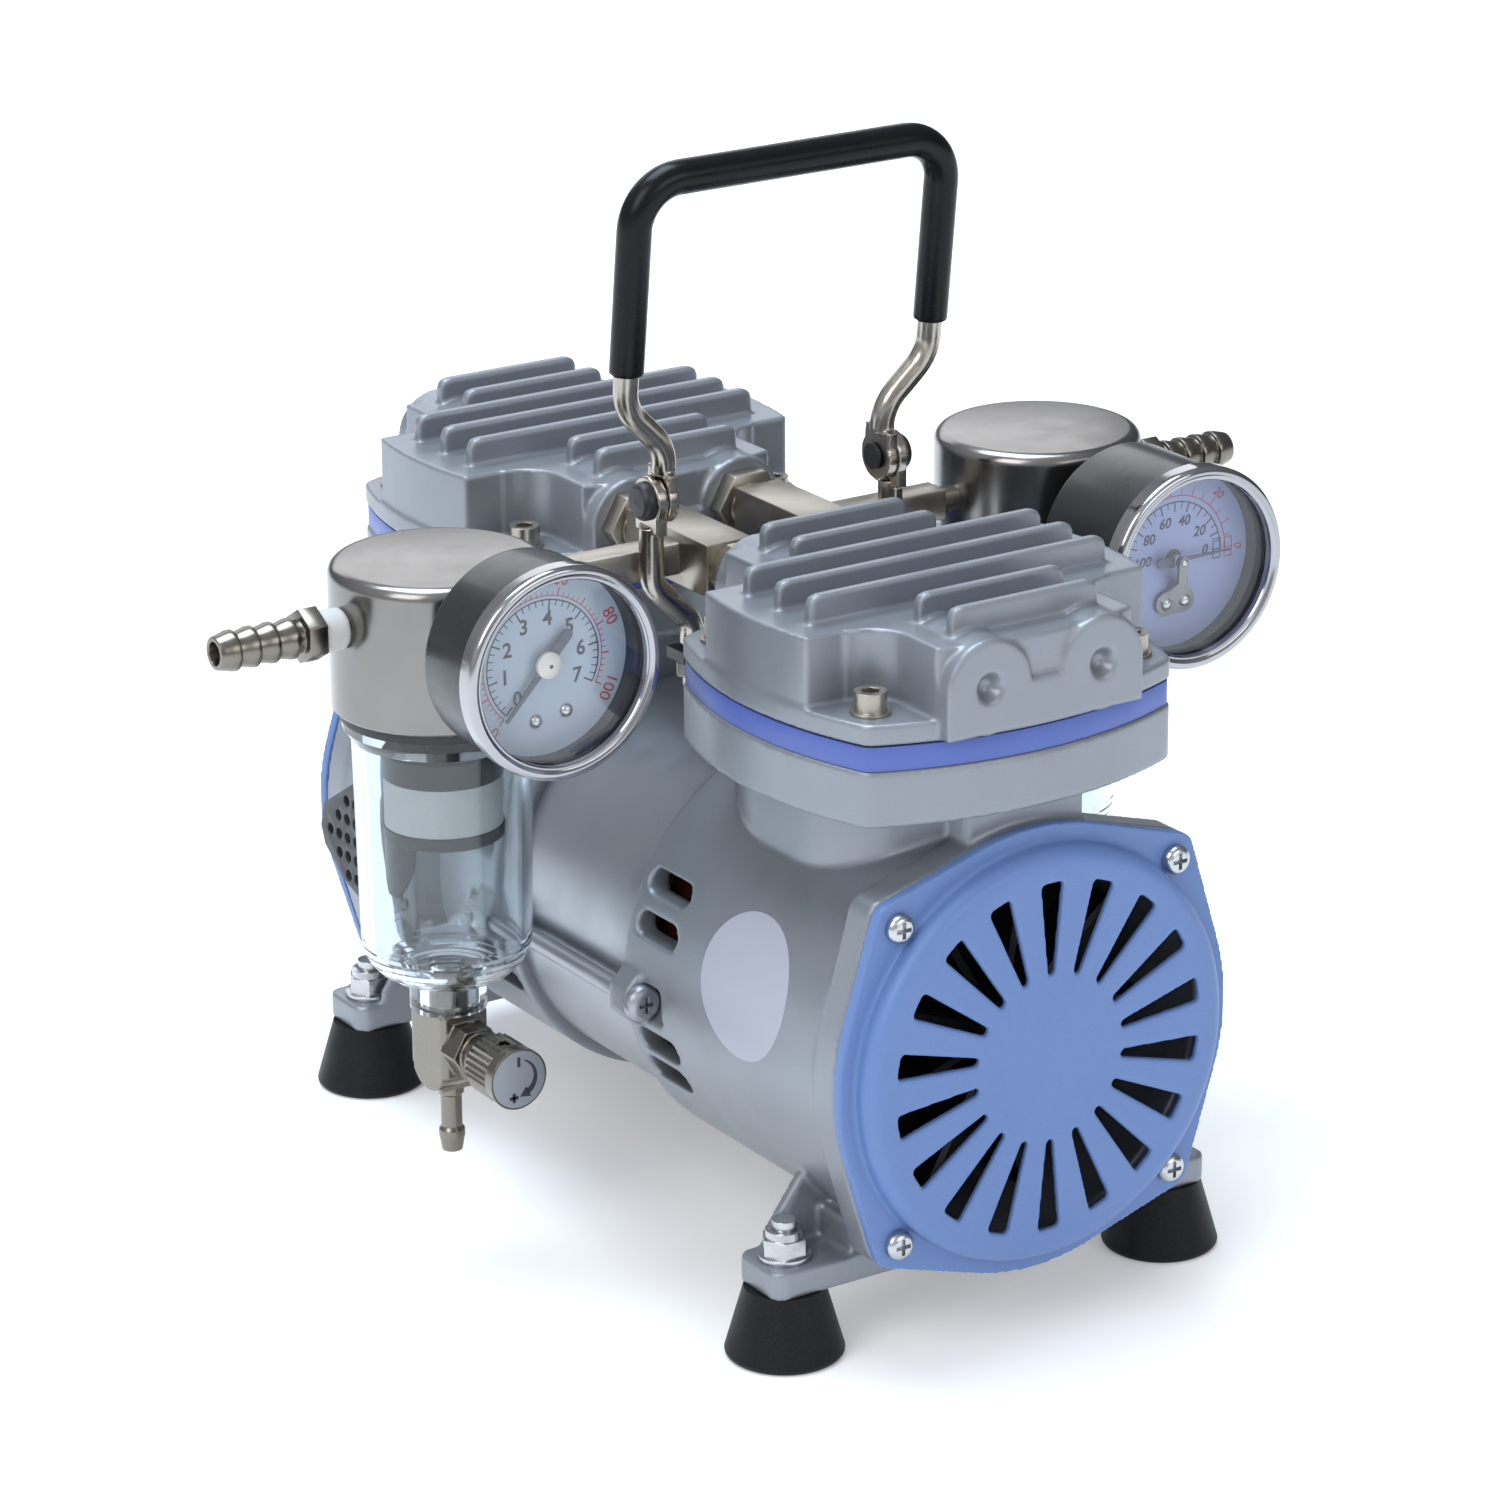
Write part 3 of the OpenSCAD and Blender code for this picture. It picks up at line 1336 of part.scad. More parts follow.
// Connecting rod with its bearing and clamp plate, eccentric centre at height c, at the rear
module rod(c) {
  ring_r = rod_bearing_d / 2 + 4;
  top = piston_top - shaft_h - crank_throw;
  y0 = head_y - rod_bearing_w / 2;
  y1 = head_y + rod_bearing_w / 2;
  translate([0, 0, c]) {
    difference() {
      union() {
        along_y(y0, y1, ring_r);
        translate([-11, y0 + 1, rod_bearing_d / 2]) cube([22, rod_bearing_w - 2, top - 8 - rod_bearing_d / 2]);
        translate([0, head_y, top - 8]) cylinder(h = 4, r = piston_r);
        translate([0, head_y, top - 4.1]) cylinder(h = 1.1, r = 8);
      }
      along_y(y0 - 1, y1 + 1, rod_bearing_d / 2 - 0.01);
      translate([0, head_y, top - 14]) cylinder(h = 20, r = 2.5);
    }
    ring_y(y0, y1, rod_bearing_d / 2 - 0.02, journal_r + running_gap);
    difference() {
      translate([0, head_y, top - 3]) cylinder(h = 2.4, r = piston_r - 0.3);
      translate([0, head_y, top - 4]) cylinder(h = 6, r = 2.52);
    }
    difference() {
      translate([0, head_y, top - 13]) cylinder(h = 12.4, r = 2.48);
      translate([0, head_y, top - 2.6]) hexagon(2.5, 4);
    }
  }
}

module front_rod() {
  color([0.7, 0.7, 0.72]) mirror([0, 1, 0]) rod(shaft_h + crank_throw);
}

module rear_rod() {
  color([0.7, 0.7, 0.72]) rod(shaft_h - crank_throw);
}

// Thin cup held between the piston and its clamp plate
module cup_seal(c) {
  top = piston_top - shaft_h - crank_throw;
  t = 0.9;
  translate([0, head_y, c]) rotate_extrude($fn = 96) polygon([
    [8.02, top - 4], [bore_r - 0.2, top - 4], [bore_r - 0.05, top - 3.4], [bore_r - 0.05, top - 0.8],
    [bore_r - 0.8, top - 0.8], [bore_r - 1, top - 4 + t], [8.02, top - 4 + t]
  ]);
}

module front_piston_seal() {
  color("ivory") mirror([0, 1, 0]) cup_seal(shaft_h + crank_throw);
}

module rear_piston_seal() {
  color("ivory") cup_seal(shaft_h - crank_throw);
}

front_housing();
rear_housing();
stator_core();
stator_windings();
stator_band();
tie_bolts();
main_bearings();
front_fan_cover();
rear_fan_cover();
cover_screws();
cylinder_sleeves();
valve_plates();
reed_valves();
head_gaskets();
front_head();
rear_head();
head_screws();
port_adapters();
pressure_manifold();
vacuum_manifold();
rubber_feet();
foot_studs();
foot_nuts();
handle_bracket();
handle_links();
handle_rivets();
handle_frame();
handle_grip();
trap_caps();
bowl_seals();
left_trap_bowl();
right_trap_bowl();
filter_holders();
filter_elements();
hose_barbs();
valve_bodies();
drain_barbs();
left_valve_spindle();
right_valve_spindle();
left_valve_knob();
right_valve_knob();
gauge_cases();
gauge_bezels();
gauge_lenses();
gauge_dials();
bourdon_tubes();
pressure_pointer();
vacuum_pointer();
electrical_box();
terminal_block();
cable_grommet();
power_rocker();
shaft();
rotor_core();
crank_eccentrics();
cooling_fans();
front_rod();
rear_rod();
front_piston_seal();
rear_piston_seal();
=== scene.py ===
import math

import bmesh
import bpy
from mathutils import Matrix, Vector


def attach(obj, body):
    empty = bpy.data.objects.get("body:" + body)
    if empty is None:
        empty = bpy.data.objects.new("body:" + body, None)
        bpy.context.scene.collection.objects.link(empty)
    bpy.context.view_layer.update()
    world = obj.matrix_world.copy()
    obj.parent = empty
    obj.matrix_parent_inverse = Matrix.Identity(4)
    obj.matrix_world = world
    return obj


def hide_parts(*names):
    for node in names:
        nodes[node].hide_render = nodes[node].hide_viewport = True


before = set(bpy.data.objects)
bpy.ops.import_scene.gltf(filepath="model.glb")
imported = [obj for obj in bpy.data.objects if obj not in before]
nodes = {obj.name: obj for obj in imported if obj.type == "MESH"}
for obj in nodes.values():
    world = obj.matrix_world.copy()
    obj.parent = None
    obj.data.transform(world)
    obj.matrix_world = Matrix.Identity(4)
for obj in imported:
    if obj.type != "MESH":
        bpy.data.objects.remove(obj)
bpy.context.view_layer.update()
scene = bpy.context.scene

# Driving sizes, in millimetres until they are multiplied by MM

MM = 0.001
SHAFT_Z = 73.8
HOUSING_R = 56.0
FIN_TOP = 187.0
TRAP_X = 90.0
CAP_R = 26.9
CAP_TOP = 184.0
SIDES = (("left", -1), ("right", 1))
FRONT = Matrix.Rotation(math.radians(90), 4, "X")  # local Z towards -Y, local Y up
FLAT = math.radians(0.6)  # faces that differ by less than this are one flat face

# Material nodes


class Tree:
    """A Principled material with short names for the nodes that drive it."""

    def __init__(self, name, color, rough, metal=0.0):
        self.mat = bpy.data.materials.new(name)
        self.mat.use_nodes = True
        self.tree = self.mat.node_tree
        self.tree.nodes.clear()
        out = self.tree.nodes.new("ShaderNodeOutputMaterial")
        self.bsdf = self.tree.nodes.new("ShaderNodeBsdfPrincipled")
        self.tree.links.new(self.bsdf.outputs[0], out.inputs[0])
        self.set("Base Color", (*color[:3], 1))
        self.set("Roughness", rough)
        self.set("Metallic", metal)
        self.coords = self.tree.nodes.new("ShaderNodeTexCoord").outputs["Object"]
        self.mat.diffuse_color = (*color[:3], 1)

    def set(self, socket, value):
        self.bsdf.inputs[socket].default_value = value

    def link(self, value, socket):
        self.tree.links.new(value, self.bsdf.inputs[socket])

    def put(self, target, value):
        if isinstance(value, bpy.types.NodeSocket):
            self.tree.links.new(value, target)
        else:
            target.default_value = value

    def math(self, operation, a, b=0.0, clamp=False):
        n = self.tree.nodes.new("ShaderNodeMath")
        n.operation = operation
        n.use_clamp = clamp
        self.put(n.inputs[0], a)
        self.put(n.inputs[1], b)
        return n.outputs[0]

    def vector(self, operation, a, b):
        n = self.tree.nodes.new("ShaderNodeVectorMath")
        n.operation = operation
        self.put(n.inputs[0], a)
        self.put(n.inputs[1], b)
        return n.outputs["Value" if operation == "DOT_PRODUCT" else "Vector"]

    def noise(self, scale, detail=2.0, rough=0.5, coords=None):
        n = self.tree.nodes.new("ShaderNodeTexNoise")
        self.put(n.inputs["Vector"], coords or self.coords)
        n.inputs["Scale"].default_value = scale
        n.inputs["Detail"].default_value = detail
        n.inputs["Roughness"].default_value = rough
        return n.outputs["Fac"]

    def mix(self, factor, a, b):
        n = self.tree.nodes.new("ShaderNodeMix")
        n.data_type = "RGBA"
        self.put(n.inputs["Factor"], factor)
        for socket, value in ((n.inputs[6], a), (n.inputs[7], b)):
            self.put(socket, value if isinstance(value, bpy.types.NodeSocket) else (*value[:3], 1))
        return n.outputs[2]

    def span(self, value, low, high, out_low=0.0, out_high=1.0):
        n = self.tree.nodes.new("ShaderNodeMapRange")
        for socket, v in zip(n.inputs, (value, low, high, out_low, out_high)):
            self.put(socket, v)
        return n.outputs[0]

    def bevel(self, radius_mm):
        n = self.tree.nodes.new("ShaderNodeBevel")
        n.samples = 4
        n.inputs["Radius"].default_value = radius_mm * MM
        return n.outputs[0]

    def bump(self, height, distance_mm, normal=None):
        n = self.tree.nodes.new("ShaderNodeBump")
        n.inputs["Strength"].default_value = 1.0
        n.inputs["Distance"].default_value = distance_mm * MM
        self.put(n.inputs["Height"], height)
        if normal is not None:
            self.put(n.inputs["Normal"], normal)
        return n.outputs[0]


BLACK = (0, 0, 0)
WHITE = (1, 1, 1)
DUST = (0.45, 0.43, 0.40)


def shade(color, factor):
    return tuple(min(1.0, c * factor) for c in color[:3])


def surface(name, color, rough, metal=0.0, tint=0.05, tint_scale=30, speck=0.0, speck_scale=5000,
            rough_var=0.05, bump_mm=0.0, bump_scale=900, round_mm=0.25, edge=0.0, edge_color=None,
            edge_mm=0.5, spec=0.5, coat=0.0, dust=0.0):
    """Colour variation, specks, paler edges that are a painted highlight, dust, uneven roughness, a fine
    bump and softened edges.
    """
    t = Tree(name, color, rough, metal)
    col = t.mix(t.noise(tint_scale, 3.0), shade(color, 1 - tint), shade(color, 1 + tint))
    if speck:
        grain = t.span(t.noise(speck_scale, 1.0), 0.35, 0.65)
        col = t.mix(grain, t.mix(speck, col, BLACK), t.mix(speck, col, WHITE))
    normal = t.bevel(round_mm) if round_mm else None
    # Paler colour on the rounded edges, in patches: a painted highlight where the edges catch the light
    if edge:
        geometry = t.tree.nodes.new("ShaderNodeNewGeometry")
        flat = t.vector("DOT_PRODUCT", t.bevel(edge_mm), geometry.outputs["Normal"])
        patches = t.span(t.noise(220, 3.0), 0.35, 0.7, 0.2, 1.0)
        edge_highlight = t.math("MULTIPLY", t.span(flat, 0.99, 0.80), patches)
        col = t.mix(t.math("MULTIPLY", edge_highlight, edge, True), col, edge_color or shade(color, 1.35))
    if dust:
        col = t.mix(t.span(t.noise(16, 5.0, 0.65), 0.5, 0.8, 0.0, dust), col, DUST)
    t.link(col, "Base Color")
    uneven = t.noise(tint_scale * 2.3, 4.0, 0.6)
    t.link(t.span(uneven, 0.3, 0.7, rough - rough_var, rough + rough_var), "Roughness")
    if bump_mm:
        normal = t.bump(t.noise(bump_scale, 3.0, 0.6), bump_mm, normal)
    if normal is not None:
        t.link(normal, "Normal")
    t.set("Specular IOR Level", spec)
    t.set("Coat Weight", coat)
    t.set("Coat Roughness", 0.08)
    return t.mat


def turned(name, color, rough, rough_var, tint, line_mm, bump_mm, aniso, centre_mm):
    """Metal from a lathe: fine lines round its upright axis on the wall, and rings on the end face."""
    t = Tree(name, color, rough, 1.0)
    split = t.tree.nodes.new("ShaderNodeSeparateXYZ")
    local = t.vector("SUBTRACT", t.coords, tuple(c * MM for c in centre_mm))
    t.tree.links.new(local, split.inputs[0])
    x, y, z = split.outputs
    radius = t.math("SQRT", t.math("ADD", t.math("MULTIPLY", x, x), t.math("MULTIPLY", y, y)))
    lines = t.tree.nodes.new("ShaderNodeCombineXYZ")
    t.tree.links.new(radius, lines.inputs[0])
    t.tree.links.new(z, lines.inputs[1])
    fine = t.noise(1000 / line_mm, 2.0, 0.6, lines.outputs[0])
    wide = t.noise(1000 / line_mm / 9, 2.0, 0.6, lines.outputs[0])
    smear = t.noise(70, 3.0, 0.6)
    col = t.mix(fine, shade(color, 1 - tint), shade(color, 1 + tint))
    t.link(t.mix(t.span(smear, 0.4, 0.8, 0.0, 0.25), col, shade(color, 0.82)), "Base Color")
    bands = t.span(wide, 0.3, 0.7, rough - rough_var, rough + rough_var)
    t.link(t.math("ADD", bands, t.span(smear, 0.3, 0.7, -0.03, 0.05)), "Roughness")
    height = t.math("ADD", fine, t.math("MULTIPLY", wide, 2.0))
    t.link(t.bump(height, bump_mm, t.bevel(0.3)), "Normal")
    tangent = t.tree.nodes.new("ShaderNodeTangent")
    tangent.direction_type = "RADIAL"
    tangent.axis = "Z"
    t.link(tangent.outputs[0], "Tangent")
    t.set("Anisotropic", aniso)
    t.set("Anisotropic Rotation", 0.25)
    return t.mat


def clear(name, color, rough, ior):
    """A moulded clear plastic with slight smears and a wavy skin."""
    t = Tree(name, color, rough)
    t.set("Transmission Weight", 1.0)
    t.set("IOR", ior)
    smear = t.noise(45, 4.0, 0.6)
    t.link(t.mix(smear, color, shade(color, 0.96)), "Base Color")
    t.link(t.span(smear, 0.35, 0.75, rough, rough + 0.05), "Roughness")
    t.link(t.bump(t.noise(60, 2.0), 0.012), "Normal")
    return t.mat


def thin_glass(name, color, reflect):
    """A flat pane: mostly see-through, with a mirror's share of gloss."""
    t = Tree(name, color, 0.03, 1.0)
    smear = t.noise(45, 4.0, 0.6)
    t.link(t.mix(smear, color, shade(color, 0.95)), "Base Color")
    t.link(t.span(smear, 0.35, 0.75, 0.02, 0.05), "Roughness")
    t.set("Alpha", reflect)
    return t.mat


# Materials

# edge and edge_color below set the paler edges, a painted highlight
silver_paint = surface("silver_paint", (0.248, 0.268, 0.298), 0.36, metal=0.5, tint=0.04, speck=0.03,
                       speck_scale=6500, rough_var=0.05, bump_mm=0.010, bump_scale=1300, round_mm=0.9,
                       edge=0.5, edge_color=(0.52, 0.56, 0.63), edge_mm=0.8)
band_steel = surface("band_steel", (0.36, 0.38, 0.41), 0.34, metal=0.8, tint=0.04, rough_var=0.06,
                     bump_mm=0.002, bump_scale=2600, edge=0.2)
cover_blue = surface("cover_blue", (0.105, 0.190, 0.425), 0.42, tint=0.05, tint_scale=22, speck=0.02,
                     rough_var=0.06, bump_mm=0.008, bump_scale=1500, round_mm=0.3, edge=0.35,
                     edge_color=(0.27, 0.38, 0.68))
plate_blue = surface("plate_blue", (0.075, 0.120, 0.40), 0.38, tint=0.07, rough_var=0.07, bump_mm=0.006,
                     edge=0.4, edge_color=(0.22, 0.30, 0.62))
nickel = surface("nickel_brass", (0.40, 0.365, 0.315), 0.34, metal=1.0, tint=0.06, tint_scale=55,
                 rough_var=0.06, bump_mm=0.0015, bump_scale=500, round_mm=0.5, edge=0.35,
                 edge_color=(0.60, 0.57, 0.52))
valve_nickel = surface("valve_nickel", (0.215, 0.195, 0.165), 0.26, metal=1.0, tint=0.05, tint_scale=55,
                       rough_var=0.04, bump_mm=0.0004, bump_scale=500, round_mm=0.4, edge=0.3,
                       edge_color=(0.48, 0.45, 0.40))
chrome_rod = surface("handle_chrome", (0.42, 0.385, 0.335), 0.22, metal=1.0, tint=0.09, tint_scale=60,
                     rough_var=0.07, bump_mm=0.003, bump_scale=500, round_mm=0.3, edge=0.3,
                     edge_color=(0.68, 0.65, 0.60))
bright_steel = surface("bright_steel", (0.50, 0.51, 0.52), 0.24, metal=1.0, tint=0.08, tint_scale=70,
                       rough_var=0.08, bump_mm=0.003, round_mm=0.25, edge=0.35,
                       edge_color=(0.75, 0.75, 0.76))
dark_steel = surface("dark_steel", (0.07, 0.07, 0.075), 0.42, metal=0.9, tint=0.12, rough_var=0.1,
                     bump_mm=0.004, edge=0.3)
machined = surface("machined_aluminium", (0.45, 0.45, 0.46), 0.33, metal=1.0, tint=0.06, rough_var=0.08,
                   bump_mm=0.003, edge=0.2)
lamination = surface("lamination", (0.16, 0.17, 0.18), 0.5, metal=0.8, tint=0.15, bump_mm=0.01,
                     bump_scale=2500)
copper = surface("copper", (0.12, 0.038, 0.018), 0.4, metal=0.9, tint=0.2, bump_mm=0.05, bump_scale=900)
bezel_chrome = surface("bezel_chrome", (0.40, 0.40, 0.415), 0.12, metal=1.0, tint=0.05, tint_scale=45,
                       rough_var=0.04, bump_mm=0.0008, round_mm=0.25)
case_black = surface("gauge_case", (0.012, 0.0125, 0.0145), 0.30, tint=0.1, tint_scale=35, rough_var=0.06,
                     bump_mm=0.006, bump_scale=500, round_mm=0.3, edge=0.2,
                     edge_color=(0.07, 0.07, 0.08), coat=0.15)
liner_black = surface("gauge_liner", (0.014, 0.015, 0.018), 0.7, tint=0.1, bump_mm=0.004, round_mm=0,
                      spec=0.1)
grip_vinyl = surface("grip_vinyl", (0.0040, 0.0040, 0.0048), 0.27, tint=0.15, tint_scale=60,
                     rough_var=0.06, bump_mm=0.010, bump_scale=260, round_mm=0.3, spec=0.2)
black_plastic = surface("black_plastic", (0.018, 0.018, 0.021), 0.40, tint=0.12, rough_var=0.08,
                        bump_mm=0.008, edge=0.3, edge_color=(0.06, 0.06, 0.065))
foot_rubber = surface("foot_rubber", (0.0060, 0.0060, 0.0075), 0.42, tint=0.15, speck=0.010,
                      rough_var=0.08, bump_mm=0.015, bump_scale=700, edge=0.4,
                      edge_color=(0.018, 0.018, 0.020), dust=0.008, spec=0.16)
seal_rubber = surface("seal_rubber", (0.014, 0.014, 0.016), 0.5, tint=0.12, bump_mm=0.01, bump_scale=900)
ivory_plastic = surface("ivory_plastic", (0.52, 0.47, 0.36), 0.45, tint=0.05, bump_mm=0.005)
filter_white = surface("filter_white", (0.72, 0.72, 0.70), 0.75, tint=0.04, speck=0.05, speck_scale=2200,
                       bump_mm=0.06, bump_scale=1400, round_mm=0.4)
seal_ptfe = surface("seal_ptfe", (0.55, 0.50, 0.38), 0.4, tint=0.05)
tape_white = surface("tape_white", (0.55, 0.55, 0.54), 0.6, tint=0.04, bump_mm=0.05, bump_scale=900,
                     round_mm=0.3)
label_white = surface("label_white", (0.37, 0.385, 0.45), 0.38, tint=0.02, rough_var=0.04, bump_mm=0.003,
                      bump_scale=1800)
box_black = surface("box_black", (0.030, 0.031, 0.035), 0.48, tint=0.12, speck=0.02, rough_var=0.08,
                    bump_mm=0.015, bump_scale=1500, edge=0.4, edge_color=(0.10, 0.10, 0.11))
dial_white = surface("dial_white", (0.36, 0.44, 0.54), 0.40, tint=0.02, rough_var=0.03, bump_mm=0.001,
                     round_mm=0)
dial_lilac = surface("dial_lilac", (0.26, 0.31, 0.54), 0.40, tint=0.02, rough_var=0.03, bump_mm=0.001,
                     round_mm=0)
print_black = surface("print_black", (0.02, 0.022, 0.035), 0.5, tint=0.1, bump_mm=0.002, round_mm=0)
print_red = surface("print_red", (0.42, 0.03, 0.05), 0.5, tint=0.08, bump_mm=0.002, round_mm=0)
pointer_grey = surface("pointer_grey", (0.055, 0.065, 0.095), 0.42, tint=0.08, bump_mm=0.003, edge=0.3)
bridge_steel = surface("bridge_steel", (0.20, 0.20, 0.205), 0.34, metal=0.9, tint=0.06, bump_mm=0.003,
                       round_mm=0.1)
hub_white = surface("hub_white", (0.66, 0.64, 0.58), 0.35, tint=0.05, bump_mm=0.003)
clear_plastic = clear("clear_plastic", (0.80, 0.855, 0.88), 0.015, 1.49)
lens_glass = thin_glass("lens_glass", (0.92, 0.95, 0.98), 0.05)

# Mesh helpers


def new_piece(name, mesh, body, material, replaces=()):
    """Puts a mesh in the scene as a piece that moves with a body."""
    ob = bpy.data.objects.new(name, mesh)
    scene.collection.objects.link(ob)
    mesh.materials.clear()
    mesh.materials.append(material)
    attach(ob, body)
    if replaces:
        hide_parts(*replaces)
    return ob


def plain_mesh(bm, name):
    mesh = bpy.data.meshes.new(name)
    bm.to_mesh(mesh)
    bm.free()
    return mesh


def to_mesh(bm, name, smooth_deg=35):
    """A mesh that is smooth across its gentle edges and sharp at the others."""
    bmesh.ops.recalc_face_normals(bm, faces=bm.faces)
    limit = math.radians(smooth_deg)
    for f in bm.faces:
        f.smooth = True
    for e in bm.edges:
        e.smooth = not (len(e.link_faces) == 2 and e.calc_face_angle(0.0) > limit)
    return plain_mesh(bm, name)


def welded(node):
    """The CAD node's mesh with its split corners joined again."""
    bm = bmesh.new()
    bm.from_mesh(nodes[node].data)
    bmesh.ops.remove_doubles(bm, verts=bm.verts, dist=2e-6)
    return bm


def join_flats(bm):
    bmesh.ops.dissolve_limit(bm, angle_limit=FLAT, verts=bm.verts, edges=bm.edges)


def run_modifiers(mesh, name, *modifiers):
    """Applies (type, {settings}) modifiers to a mesh and returns the new mesh."""
    ob = bpy.data.objects.new(name + "_work", mesh)
    scene.collection.objects.link(ob)
    for kind, settings in modifiers:
        m = ob.modifiers.new(kind, kind)
        for key, value in settings.items():
            setattr(m, key, value)
    deps = bpy.context.evaluated_depsgraph_get()
    done = bpy.data.meshes.new_from_object(ob.evaluated_get(deps), depsgraph=deps)
    bpy.data.objects.remove(ob)
    done.name = name
    return done


def round_fin_ends(bm):
    """Rounds the upper end corners of a head's fins, seen from the side."""
    join_flats(bm)
    ends = [e for e in bm.edges if min(v.co.z for v in e.verts) > (FIN_TOP - 0.2) * MM
            and abs(e.verts[0].co.x - e.verts[1].co.x) < 0.1 * MM]
    bmesh.ops.bevel(bm, geom=ends, offset=2.6 * MM, segments=6, profile=0.5, affect="EDGES")


def cast(node, body, material, voxel_mm, smooth, faces, shape=None):
    """Rounds a CAD node's edges and corners as a casting or forging has them, and stands for it."""
    bm = welded(node)
    if shape:
        shape(bm)
    name = node + "_cast"
    mesh = run_modifiers(plain_mesh(bm, node + "_weld"), name,
                         ("REMESH", {"mode": "VOXEL", "voxel_size": voxel_mm * MM}),
                         ("SMOOTH", {"factor": 0.5, "iterations": smooth}))
    share = faces / (2 * len(mesh.polygons))
    if share < 1:
        mesh = run_modifiers(mesh, name, ("DECIMATE", {"decimate_type": "COLLAPSE", "ratio": share}))
    for p in mesh.polygons:
        p.use_smooth = True
    return new_piece(name, mesh, body, material, (node,))


def bevelled(node, body, material, width_mm):
    """Gives a CAD node real rounded edges, and stands for it."""
    bm = welded(node)
    join_flats(bm)
    name = node + "_edged"
    mesh = run_modifiers(plain_mesh(bm, node + "_weld"), name,
                         ("BEVEL", {"width": width_mm * MM, "segments": 2, "limit_method": "ANGLE",
                                    "angle_limit": math.radians(32), "miter_outer": "MITER_ARC"}))
    bm = bmesh.new()
    bm.from_mesh(mesh)
    return new_piece(name, to_mesh(bm, name, 30), body, material, (node,))


def lathe(name, profile, body, material, at, turn=None, segments=96, replaces=()):
    """Spins (radius, height) points in millimetres round Z, then turns and places them."""
    bm = bmesh.new()
    around = [2 * math.pi * k / segments for k in range(segments)]
    rings = []
    for r, z in profile:
        if r < 1e-6:
            rings.append([bm.verts.new((0, 0, z * MM))])
        else:
            rings.append([bm.verts.new((r * MM * math.cos(a), r * MM * math.sin(a), z * MM))
                          for a in around])
    for low, high in zip(rings, rings[1:]):
        for k in range(segments):
            a, b = low[k % len(low)], low[(k + 1) % len(low)]
            c, d = high[(k + 1) % len(high)], high[k % len(high)]
            corners = list(dict.fromkeys((a, b, c, d)))
            if len(corners) > 2:
                bm.faces.new(corners)
    bm.transform(Matrix.Translation(Vector(at) * MM) @ (turn or Matrix.Identity(4)))
    return new_piece(name, to_mesh(bm, name), body, material, replaces)


def closed(profile):
    return profile + profile[:1]


def on_circle(r, deg):
    return r * math.cos(math.radians(deg)), r * math.sin(math.radians(deg))


def arc(cx, cy, r, a0, a1, n=8):
    """Points from a0 to a1 degrees round (cx, cy), in n steps."""
    round_points = [on_circle(r, a0 + (a1 - a0) * k / n) for k in range(n + 1)]
    return [(cx + x, cy + y) for x, y in round_points]


def flat_verts(bm, points):
    return [bm.verts.new((x * MM, y * MM, 0)) for x, y in points]


def flat_strip(bm, inner, outer):
    """A band of faces between two rows of points in the XY plane."""
    low, high = flat_verts(bm, inner), flat_verts(bm, outer)
    for k in range(len(low) - 1):
        bm.faces.new((low[k], low[k + 1], high[k + 1], high[k]))


def flat_box(bm, x0, y0, x1, y1):
    bm.faces.new(flat_verts(bm, [(x0, y0), (x1, y0), (x1, y1), (x0, y1)]))


# Print on the dials and knobs, drawn flat in XY round the middle of a face

INK_MM = 0.03


def print_number(bm, text, size_mm, place, weight, spin=0.0, slant=0.0):
    """Adds one number centred on a place, turned by spin degrees."""
    curve = bpy.data.curves.new("print", "FONT")
    curve.body = text
    curve.size = size_mm * MM
    curve.align_x = "CENTER"
    curve.align_y = "CENTER"
    curve.shear = slant
    curve.offset = weight * size_mm * MM
    curve.resolution_u = 3
    ob = bpy.data.objects.new("print", curve)
    scene.collection.objects.link(ob)
    deps = bpy.context.evaluated_depsgraph_get()
    mesh = bpy.data.meshes.new_from_object(ob.evaluated_get(deps), depsgraph=deps)
    bpy.data.objects.remove(ob)
    shift = Matrix.Translation((place[0] * MM, place[1] * MM, 0))
    mesh.transform(shift @ Matrix.Rotation(math.radians(spin), 4, "Z"))
    bm.from_mesh(mesh)


def tick(bm, angle, r0, r1, width):
    d = Vector((*on_circle(1, angle), 0))
    side = Vector((-d.y, d.x, 0)) * width / 2
    corners = [d * r0 - side, d * r1 - side, d * r1 + side, d * r0 + side]
    bm.faces.new([bm.verts.new(c * MM) for c in corners])


def angles(zero, full, parts):
    """The angles of a scale's marks, as many as its parts allow."""
    return [zero + (full - zero) * k / parts for k in range(int(parts) + 1)]


def scale(bm, zero, full, radius, line, parts, every, lengths, widths):
    """A ring with ticks. One tick in so many is long; negative lengths point inwards."""
    ends = min(zero, full), max(zero, full)
    inner, outer = (arc(0, 0, r, *ends, 90) for r in (radius - line / 2, radius + line / 2))
    flat_strip(bm, inner, outer)
    for k, angle in enumerate(angles(zero, full, parts)):
        short = 1 if k % every else 0
        tip = radius + lengths[short]
        tick(bm, angle, min(radius, tip), max(radius, tip), widths[short])


